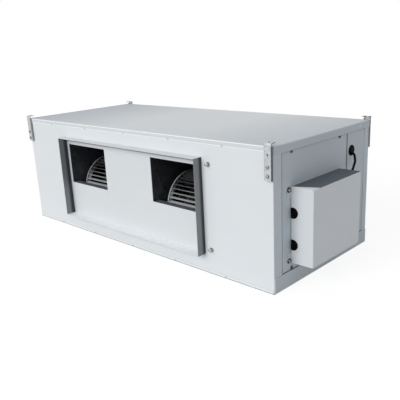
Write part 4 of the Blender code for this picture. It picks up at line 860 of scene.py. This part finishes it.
def makeScrews():
    head, turn = panHead(screws["radius"], screws["rise"]), screws["bandTurn"]
    ends, seals, holders = [], [], []
    for face, facing in (("front", "-y"), ("rear", "+y")):
        band = [(x, casing[face], z) for x in screws["bandX"] for z in (screws["bandZ"], screws["footZ"])]
        ends.append(repeated(head, band, facing, turn))
    holder = onWasher(panHead(screws["panelRadius"], screws["panelRise"]), "panel")
    for facing, sign in (("+x", 1), ("-x", -1)):
        held = [(sign * casing["skin"], y, z) for y in screws["panelY"] for z in screws["panelZ"]]
        seals.append(repeated(washer("panel"), held, facing))
        holders.append(repeated(holder, held, facing, screws["panelTurn"]))
        rear = [(sign * casing["end"], screws["rearY"], screws["bandZ"])]
        ends.append(repeated(head, rear, facing, screws["panelTurn"]))
    ears = [(casing["skin"] + screws["earSheet"], screws["earY"], z) for z in screws["earZ"]]
    seals.append(repeated(washer("ear"), ears, "+x"))
    ear = onWasher(panHead(screws["earRadius"], screws["earRise"]), "ear")
    addPiece("casing_screws", merged(*ends), "paleScrew")
    addPiece("control_box_screws", repeated(ear, ears, "+x", screws["earTurn"]), "bolt")
    addPiece("access_panel_screws", merged(*holders), "darkScrew")
    addPiece("screw_washers", merged(*seals), "seal")


# The control box's four corners, welded and ground to the fold's radius
welds = {"radius": 0.0024, "sides": 16, "from": 0.6490, "to": 0.7216, "low": 0.073, "high": 0.310}


def makeWelds():
    radius = welds["radius"]
    section = circle(radius, welds["sides"])
    runs = []
    for y in (casing["boxFront"] + radius, casing["boxRear"] - radius):
        for z in (welds["low"] + radius, welds["high"] - radius):
            runs.append(carried(section, [(welds["from"], y, z), (welds["to"], y, z)], (0, 0, 1)))
    addPiece("control_box_corners", merged(*runs), "box")


# The four bolts by the collar that hold the duct's flange, standing out on short stems
bolts = {
    "x": 0.404, "z": (0.083, 0.363), "stem": 0.0032, "stemSteps": 24, "sunk": 0.001, "reach": 0.0065,
    "across": 0.0095, "head": 0.0042, "turn": 0.2,
}


def makePanelBolts():
    reach, sunk = bolts["reach"], bolts["sunk"]
    stem = turned([(bolts["stem"], -sunk), (bolts["stem"], reach + sunk)], bolts["stemSteps"])
    head = onWasher(hexHead(bolts["across"], bolts["head"]), "ductHead")
    top = stood(merged(washer("ductHead"), head), (0, 0, reach), "+z")
    places = [(sign * bolts["x"], casing["frontPanel"], z) for sign in (-1, 1) for z in bolts["z"]]
    bolt = merged(washer("duct"), stem, top)
    addPiece("panel_bolts", repeated(bolt, places, "-y", bolts["turn"]), "screw")


# A shape with the cutter's solids taken out, by Blender's exact Boolean
def drilled(shape, cutter):
    body, tool = (placed(name, meshOf(name, rough)) for name, rough in (("body", shape), ("tool", cutter)))
    hole = body.modifiers.new("hole", "BOOLEAN")
    hole.operation, hole.solver, hole.object = "DIFFERENCE", "EXACT", tool
    result = body.evaluated_get(bpy.context.evaluated_depsgraph_get()).to_mesh()
    points = np.empty(len(result.vertices) * 3)
    result.vertices.foreach_get("co", points)
    faces = [list(face.vertices) for face in result.polygons]
    for rough in (body, tool):
        bpy.data.objects.remove(rough)
    return points.reshape(-1, 3), faces


# A hanging bracket: a channel against the casing whose web turns over the cover's edge, with a slot
# for the rod in the turned part and two bolts in the web. Its places are the CAD bracket's own.
hanger = {
    "sheet": 0.0025, "bend": 0.0032, "bendSteps": 8, "standoff": 0.008, "ear": 0.020, "slot": 0.010,
    "slotDepth": 0.013, "slotSteps": 24, "past": 0.004, "turnFrom": 0.010, "hole": 0.0026, "holeSteps": 20,
    "holeHalf": 0.006, "holeZ": 0.418, "boltZ": (0.384, 0.358), "across": 0.0085, "head": 0.0035,
    "turn": 0.3, "edge": 0.0004,
}


def makeHanger(face, side):
    name = f"hanger_{face}_{side}"
    low, high = (np.array(corner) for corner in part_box(name))
    out = -1 if face == "front" else 1
    facing = "-y" if out < 0 else "+y"
    half = hanger["sheet"] / 2
    outer = low[1] if out < 0 else high[1]
    root = outer - out * hanger["standoff"] + out * casing["gap"]
    back, web = outer - out * hanger["ear"], outer - out * half
    near, far, middle = low[0] + half, high[0] - half, (low[0] + high[0]) / 2
    turnZ, topZ = high[2] - hanger["turnFrom"], high[2] - half
    path = rounded([(near, root), (near, web), (far, web), (far, root)], hanger["bend"] - half)
    channel = pushed([strip(path, hanger["sheet"])], low[2], turnZ, "z")
    bend = rounded([(web, turnZ), (web, topZ), (back, topZ)], hanger["bend"] + half, hanger["bendSteps"])
    lug = pushed([strip(bend, hanger["sheet"])], low[0], high[0], "x")
    # the slot is a straight cut from past the lug's edge, ended by a round one
    radius, past = hanger["slot"] / 2, hanger["past"]
    slotEnd = (middle, back + out * (hanger["slotDepth"] - radius))
    y0, y1 = sorted((back - out * past, slotEnd[1]))
    x0, x1 = middle - radius, middle + radius
    for cutter in ([(x0, y0), (x1, y0), (x1, y1), (x0, y1)], circle(radius, hanger["slotSteps"], slotEnd)):
        lug = drilled(lug, pushed([cutter], high[2] - 2 * past, high[2] + past, "z"))
    reach = hanger["holeHalf"]
    bore = turned([(hanger["hole"], -reach), (hanger["hole"], reach)], hanger["holeSteps"])
    channel = drilled(channel, stood(bore, (middle, outer, hanger["holeZ"]), facing))
    addPiece(f"{name}_bracket", merged(channel, lug), "bracket", stands=[name], bevel=hanger["edge"])
    bolt = merged(washer("hanger"), onWasher(hexHead(hanger["across"], hanger["head"]), "hanger"))
    places = [(middle, outer, z) for z in hanger["boltZ"]]
    addPiece(f"{name}_bolts", repeated(bolt, places, facing, hanger["turn"]), "bolt")


# Rubber beads in the seams: a round section carried along straight runs
seal = {
    "thick": 0.0013, "thin": 0.0008, "sides": 10, "proud": 0.0002, "cornerY": -0.2318, "midY": 0.1290,
    "low": 0.0515, "high": 0.4150, "lipZ": 0.4154, "railZ": 0.0506, "reach": (-0.232, 0.244),
}


def makeSeals():
    thick, thin = (circle(seal[size], seal["sides"]) for size in ("thick", "thin"))
    runs = []
    for sign, corner in ((-1, thick), (1, thin)):  # the corner's bead is thicker at the left end
        skin = sign * (casing["skin"] + seal["proud"])
        for y, section in ((seal["cornerY"], corner), (seal["midY"], thin)):
            runs.append(carried(section, [(skin, y, z) for z in (seal["low"], seal["high"])], (0, 1, 0)))
        for z in (seal["lipZ"], seal["railZ"]):
            runs.append(carried(thin, [(skin, y, z) for y in seal["reach"]], (0, 0, 1)))
    addPiece("seam_seals", merged(*runs), "seal")


# The motor's lead: a round sheath carried along a smooth route, from the end panel's grommet down
# beside the control box and in at its rear side. Both its ends are held.
lead = {
    "radius": 0.0039, "sides": 20, "perSpan": 9, "up": (0, 0.707, -0.707),
    "route": (
        (0.6326, 0.155, 0.3465), (0.650, 0.155, 0.3465), (0.6595, 0.1535, 0.3430), (0.6645, 0.1499, 0.3336),
        (0.668, 0.1455, 0.3225), (0.6705, 0.1346, 0.3120), (0.6733, 0.1214, 0.3009),
        (0.675, 0.1054, 0.2921), (0.675, 0.0915, 0.288), (0.675, 0.082, 0.288), (0.675, 0.070, 0.288),
    ),
    "hole": (0.6467, 0.158, 0.355), "grommetSteps": 48, "entry": (0.675, 0.082, 0.288), "bootSteps": 40,
    # the grommet's two halves and the boot, as (radius, height above the sheet)
    "outside": (
        (0.0149, -0.0014), (0.0149, 0), (0.0177, 0), (0.0180, 0.0006), (0.0177, 0.0014), (0.0160, 0.0026),
        (0.0125, 0.0032), (0.0120, 0.0026), (0.0070, 0.0026), (0.0064, 0.0033), (0.0004, 0.0033),
    ),
    "behind": ((0.0149, -0.0038), (0.0172, -0.0036), (0.0172, -0.0018), (0.0149, -0.0018)),
    "boot": (
        (0.0042, -0.0040), (0.0112, -0.0038), (0.0112, -0.0019), (0.0087, -0.0017), (0.0087, 0.0004),
        (0.0114, 0.0005), (0.0114, 0.0018), (0.0095, 0.0030), (0.0066, 0.0036), (0.0058, 0.0090),
        (0.0050, 0.0094), (0.0042, 0.0092),
    ),
}


# Cubic Hermite spans: each slope is half the way between the point's neighbours
def smoothed(route, perSpan):
    route = np.asarray(route, float)
    slope = np.gradient(route, axis=0)
    t = np.linspace(0, 1, perSpan, endpoint=False)[None, :, None]
    square, cube = t ** 2, t ** 3
    a, b, u, v = route[:-1, None], route[1:, None], slope[:-1, None], slope[1:, None]
    span = (2 * cube - 3 * square + 1) * a + (3 * square - 2 * cube) * b
    span += (cube - 2 * square + t) * u + (cube - square) * v
    return np.concatenate([span.reshape(-1, 3), route[-1:]])


def makeLead():
    path = smoothed(lead["route"], lead["perSpan"])
    sheath = carried(circle(lead["radius"], lead["sides"]), path, lead["up"])
    addPiece("motor_lead_sheath", sheath, "sheath", stands=["motor_lead"])
    grommet = merged(*[turned(lead[half], lead["grommetSteps"]) for half in ("outside", "behind")])
    addPiece("lead_hole_grommet", stood(grommet, lead["hole"], "+x"), "rubber", stands=["lead_grommet"])
    boot = turned(lead["boot"], lead["bootSteps"], True)
    addPiece("box_lead_boot", stood(boot, lead["entry"], "+y"), "rubber", stands=["box_grommet"])


# A cable entry: a ribbed rubber membrane. Its outline, a circle cut off flat against the tray, shrinks
# towards its middle while the height steps up and down, as (share of the outline, height).
entries = {
    "x": 0.655, "flat": 0.6485, "radius": 0.0168, "steps": 40,
    "heights": {"upper": 0.2311, "lower": 0.1320},
    "rings": (
        (0.90, -0.0012), (0.90, 0), (1.0, 0), (1.0, 0.0014), (0.94, 0.0021), (0.80, 0.0021), (0.77, 0.0012),
        (0.60, 0.0012), (0.57, 0.0019), (0.46, 0.0019), (0.43, 0.0010), (0.22, 0.0010), (0.19, 0.0016),
        (0.03, 0.0016),
    ),
}


def makeEntry(name, z):
    limit = math.acos((entries["flat"] - entries["x"]) / entries["radius"])
    outline = circle(entries["radius"], entries["steps"], (0, 0), -limit, limit)
    middle = outline.mean(0)
    share, height = np.array(entries["rings"]).T[:, :, None, None]
    shape = capped(raised(middle + (outline - middle) * share, height))
    shape = stood(shape, (entries["x"], casing["boxFront"] - casing["gap"], z), "-y")
    addPiece(f"{name}_cable_membrane", shape, "rubber", stands=[f"cable_entry_{name}"])


# The coil: thin fins on its slope and copper bends through an end plate. A point across and up the
# slope is foot + across * (cos, sin) + up * (-sin, cos) of the tilt.
coil = {
    "foot": (0.14693, 0.0036), "tilt": math.radians(18.007), "depth": 0.066, "height": 0.3934,
    "half": 0.5499, "pitch": 0.0022, "fin": 0.00035, "tube": 0.0048, "tubeSides": 14, "row": 0.0254,
    "bends": 6, "bendSteps": 17, "firstBend": {"left": 1.5, "right": 2.0}, "sheet": 0.0015, "edge": 0.0003,
}


def onCoil(across, up):
    c, s = math.cos(coil["tilt"]), math.sin(coil["tilt"])
    return np.array([coil["foot"][0] + across * c - up * s, coil["foot"][1] + across * s + up * c])


def slopeBlocks(lows, highs):  # blocks given in (x, across, up), laid on the coil's slope
    points, faces = blocks(lows, highs)
    slope = onCoil(points[:, 1], points[:, 2])
    return np.stack([points[:, 0], slope[0], slope[1]], 1), faces


def makeCoil():
    depth, height, half, tube, row = (coil[size] for size in ("depth", "height", "half", "tube", "row"))
    x = np.linspace(-half, half - coil["fin"], int(2 * half / coil["pitch"]))
    lows = np.stack([x, x * 0, x * 0], 1)
    fins = slopeBlocks(lows, lows + (coil["fin"], depth, height))
    addPiece("coil_fin_pack", fins, "fins", stands=["coil_fins"])
    face = half + casing["gap"]
    section = circle(tube, coil["tubeSides"])
    angle = np.linspace(0, math.pi, coil["bendSteps"])
    across = depth / 2 - row / 2 * np.cos(angle)
    for side, sign in (("left", -1), ("right", 1)):
        near, far = sorted((sign * face, sign * (face + coil["sheet"])))
        plate = slopeBlocks([(near, 0, 0)], [(far, depth, height)])
        out = sign * (face + coil["sheet"] + tube + row / 2 * np.sin(angle))
        runs = []
        for bend in range(coil["bends"]):
            path = np.stack([out, *onCoil(across, row * (2 * bend + coil["firstBend"][side]))], 1)
            root = path[[0, -1]]
            root[:, 0] = sign * face
            up = onCoil(0, 1) - onCoil(0, 0)
            runs.append(carried(section, np.concatenate([root[:1], path, root[1:]]), (0, *up)))
        addPiece(f"coil_{side}_end_plate", plate, "zinc", bevel=coil["edge"])
        addPiece(f"coil_{side}_bends", merged(*runs), "copper", stands=[f"coil_end_{side}"])


# Headers, pipes and flare nuts. Each pipe is a turned wall with an open mouth and a rounded lip.
pipes = {
    "gas": {"header": 0.0110, "pipe": 0.0095, "across": 0.84, "z": 0.135},
    "liquid": {"header": 0.0070, "pipe": 0.00476, "across": 0.40, "z": 0.078},
    "end": -0.724, "standoff": 0.030, "headerSides": 24, "headerRings": 5, "pipeSides": 28,
    "firstStub": 2.5, "wall": 0.001, "lip": 0.0012, "lipEdge": 0.0002, "lipShare": 0.3, "bore": 0.040,
    "nut": 0.018, "across": 3.29, "chamfer": 0.1, "play": 0.0004, "foot": 0.002, "footShare": 1.42,
    "footRise": 0.0035, "footSteps": 32,
}


def makePipes():
    plateX = -coil["half"] - casing["gap"] - coil["sheet"]
    x, end, wall, rings = plateX - pipes["standoff"], pipes["end"], pipes["wall"], pipes["headerRings"]
    for name in ("gas", "liquid"):
        size = pipes[name]
        radius, across = size["pipe"], coil["depth"] * size["across"]
        foot = (size["z"] - coil["foot"][1] - across * math.sin(coil["tilt"])) / math.cos(coil["tilt"])
        top = foot + coil["height"] / 2
        up = np.linspace(foot - size["header"] * 2, top, rings)
        path = np.stack([np.full(rings, x), *onCoil(across, up)], 1)
        header = carried(circle(size["header"], pipes["headerSides"]), path, (1, 0, 0))
        y, z = onCoil(across, foot)
        reach, inner = x - end, radius - wall
        tube = [(radius, 0), (radius, reach - pipes["lip"])]
        tube += [(radius - wall * pipes["lipShare"], reach - pipes["lipEdge"]), (inner, reach)]
        tube += [(inner, reach - pipes["bore"]), (inner, 0)]
        pipe = stood(turned(tube, pipes["pipeSides"], True), (x, y, z), "-x")
        at = coil["row"] * (2 * np.arange(int(coil["height"] / (2 * coil["row"]))) + pipes["firstStub"])
        at = at[(at > foot) & (at < top - coil["row"] / 2)]
        stub = turned([(coil["tube"], 0), (coil["tube"], plateX - casing["gap"] - x)], coil["tubeSides"])
        stubs = repeated(stub, [(x, *onCoil(across, u)) for u in at], "+x")
        addPiece(f"{name}_pipework", merged(header, pipe, stubs), "copper", stands=[f"{name}_line"])
        bore, wide, rise = radius + pipes["play"], radius * pipes["footShare"], pipes["footRise"]
        nut = hexHead(radius * pipes["across"], pipes["nut"] - pipes["foot"], pipes["chamfer"], bore)
        ring = turned([(bore, 0), (wide, 0), (wide, rise), (bore, rise)], pipes["footSteps"], True)
        shape = merged(stood(nut, (0, 0, pipes["foot"]), "+z"), ring)
        shape = stood(shape, (end + pipes["nut"], y, z), "-x")
        addPiece(f"{name}_hex_nut", shape, "brass", stands=[f"{name}_flare_nut"])


# Filters: a mitred frame and bars round a net of crossed strands, with a pull tab on the outer end
screen = {
    "low": 0.0438, "high": 0.3255, "near": 0.2762, "far": 0.2887, "start": 0.00015, "end": 0.575,
    "bar": 0.014, "chamfer": 0.0015, "groove": 0.0016, "grooveDepth": 0.003, "overlap": 0.002,
    "thin": 0.004, "shy": 0.003, "thinSides": 16, "columns": 5, "rows": 2,
    "pitch": 0.0026, "strand": 0.00048,
    "tab": 0.016, "tabHeight": 0.060, "tabSheet": 0.0015, "tabRadius": 0.006, "tabSteps": 7,
    "grip": (0.006, 0.034), "gripAt": 0.55, "gripSides": 24, "edge": 0.0004,
}


# A frame: a section of (distance in from the edge, y) carried round a rectangle with mitred corners
def framing(section, x0, x1, z0, z1):
    d, y = np.asarray(section, float).T
    x = np.stack([x0 + d, x1 - d, x1 - d, x0 + d], 1)
    z = np.stack([z0 + d, z0 + d, z1 - d, z1 - d], 1)
    rings = np.stack([x, np.broadcast_to(y[:, None], x.shape), z], -1)
    return rings.reshape(-1, 3), gridFaces(len(d), 4, True, True)


def between(low, high, count):  # the middles of the thin bars that divide a filter's opening
    cell = (high - low - 2 * screen["bar"] + screen["thin"]) / count
    return low + screen["bar"] - screen["thin"] / 2 + cell * np.arange(1, count)


def makeFilter(side, sign):
    start, end, low, high = (screen[edge] for edge in ("start", "end", "low", "high"))
    near, far, bar, cut, groove = (screen[size] for size in ("near", "far", "bar", "chamfer", "groove"))
    middle, deep = (near + far) / 2, bar - screen["grooveDepth"]
    section = [
        (0, near), (bar - cut, near), (bar, near + cut), (bar, middle - groove), (deep, middle - groove),
        (deep, middle + groove), (bar, middle + groove), (bar, far - cut), (bar - cut, far), (0, far),
    ]
    border = framing(section, start, end, low, high)
    inset = bar - screen["overlap"]
    innerX, innerZ = (start + inset, end - inset), (low + inset, high - inset)
    # the thin bars and the grip are circles one unit wide, stretched
    thin = circle(0.5, screen["thinSides"]) * (screen["thin"], far - near - screen["shy"])
    posts = [thin + (x, middle) for x in between(start, end, screen["columns"])]
    beams = [(thin + (z, middle))[:, ::-1] for z in between(low, high, screen["rows"])]
    bars = merged(pushed(posts, *innerZ, "z"), pushed(beams, *innerX, "x"))
    half, pitch = screen["strand"] / 2, screen["pitch"]
    diamond = np.array([(-1, 0), (0, -1), (1, 0), (0, 1)]) * half
    x = np.arange(innerX[0] + pitch, innerX[1], pitch)[:, None, None]
    z = np.arange(innerZ[0] + pitch, innerZ[1], pitch)[:, None, None]
    warp = pushed(diamond + x * (1, 0) + (0, middle - half), *innerZ, "z")
    weft = pushed(diamond + z * (0, 1) + (middle + half, 0), *innerX, "x")
    tall, level = screen["tabHeight"] / 2, (low + high) / 2
    root, tip = end - screen["overlap"], end + screen["tab"]
    corners = [(root, level - tall), (tip, level - tall), (tip, level + tall), (root, level + tall)]
    outline = rounded(corners, screen["tabRadius"], screen["tabSteps"])
    tab = pushed([outline], middle - screen["tabSheet"], middle + screen["tabSheet"], "y")
    grip = circle(0.5, screen["gripSides"]) * screen["grip"]
    grip += (end + screen["tab"] * screen["gripAt"], level)
    tab = drilled(tab, pushed([grip], near, far, "y"))
    body, flip = f"{side}_filter", np.array([sign, 1, 1])
    points, faces = merged(border, bars, tab)
    addPiece(f"{body}_frame", (points * flip, faces), "frameBar", body, [body], screen["edge"])
    points, faces = merged(warp, weft)
    addPiece(f"{body}_net", (points * flip, faces), "net", body)


# The drain spout: a turned tube with a flange and two ribs for the hose
spout = {
    "radius": 0.0125, "wall": 0.0020, "steps": 40, "plain": 0.024, "ribs": (0.022, 0.012), "rib": 0.0009,
    "ribTop": 0.0008, "ribLength": 0.0040, "edge": 0.001, "edgeIn": 0.0006,
}


def makeSpout():
    low, high = (np.array(corner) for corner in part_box("drain_spout"))
    _, y, z = (low + high) / 2
    length, r, wall = high[0] - low[0], spout["radius"], spout["wall"]
    profile = [(r - wall, 0), (r + wall, 0), (r + wall, wall), (r, wall), (r, length - spout["plain"])]
    for back in spout["ribs"]:
        at = length - back
        profile += [(r, at), (r + spout["rib"], at + spout["ribTop"]), (r, at + spout["ribLength"])]
    profile += [(r, length - spout["edge"]), (r - spout["edgeIn"], length), (r - wall, length)]
    shape = stood(turned(profile, spout["steps"], True), (high[0], y, z), "-x")
    addPiece("drain_hose_spout", shape, "plastic", stands=["drain_spout"])


def seenPlainly(tree):  # 1 for what the camera, a reflection or a clear pane shows
    path = tree.nodes.new("ShaderNodeLightPath")
    rays = [Wire(tree, path.outputs[f"Is {kind} Ray"]) for kind in ("Camera", "Glossy", "Transmission")]
    return rays[0].larger(rays[1]).larger(rays[2])


def makeStage():
    world = bpy.data.worlds.new("studio")
    bpy.context.scene.world = world
    world.use_nodes = True
    background = world.node_tree.nodes["Background"]
    background.inputs["Color"].default_value = (1, 1, 1, 1)
    seen = seenPlainly(world.node_tree)
    plug(world.node_tree, background.inputs["Strength"], seen * (1 - light["ambient"]) + light["ambient"])
    sun = bpy.data.lights.new("key", "SUN")
    sun.energy = light["sunStrength"]
    sun.angle = math.radians(light["sunSize"])
    lamp = placed("key", sun)
    lamp.rotation_euler = Vector(light["sunTowards"]).to_track_quat("-Z", "Y").to_euler()
    half = light["floorSize"] / 2
    corners = np.array([(-1, -1), (1, -1), (1, 1), (-1, 1)]) * half
    level = cadLow.z - light["floorGap"]
    mesh = bpy.data.meshes.new("floor")
    mesh.from_pydata(raised(corners, level).tolist(), [], [(0, 1, 2, 3)])
    paint = Finish("floorPaint", light["floorColour"], light["floorRoughness"])
    mesh.materials.append(paint.material)
    placed("floor", mesh)
    lit = Wire(paint.tree, paint.shader.outputs[0])
    glow = paint.node("ShaderNodeEmission", inputs={"Color": grey(1.0), "Strength": light["floorGlow"]})
    share = seenPlainly(paint.tree) * light["floorShare"]
    shown = paint.node("ShaderNodeMixShader", inputs={0: share, 1: lit, 2: glow})
    output = next(node for node in paint.tree.nodes if node.type == "OUTPUT_MATERIAL")
    plug(paint.tree, output.inputs["Surface"], shown)


makeCamera()
makeStage()
print("camera, light and floor made")
for side, sign in (("left", -1), ("right", 1)):
    makeWheel(side, sign * wheel["spacing"])
    makeFilter(side, sign)
    for face in ("front", "rear"):
        makeHanger(face, side)
print("wheels, filters and hangers made")
makeCoil()
makePipes()
makeSpout()
print("coil and pipes made")
makeLead()
for name, height in entries["heights"].items():
    makeEntry(name, height)
makeWelds()
makeScrews()
makePanelBolts()
makeSeals()
print("lead, screws and seals made")
roundNodes = ("scroll", "housing", "motor", "shaft", "capacitor")
plain = sorted(set(nodes) - stoodFor)
for name in plain:
    refine(name, 0.0 if any(word in name for word in roundNodes) else refining["edge"])
print("plates and motor finished:", len(plain), "nodes")

bpy.context.scene.view_settings.view_transform = "Standard"
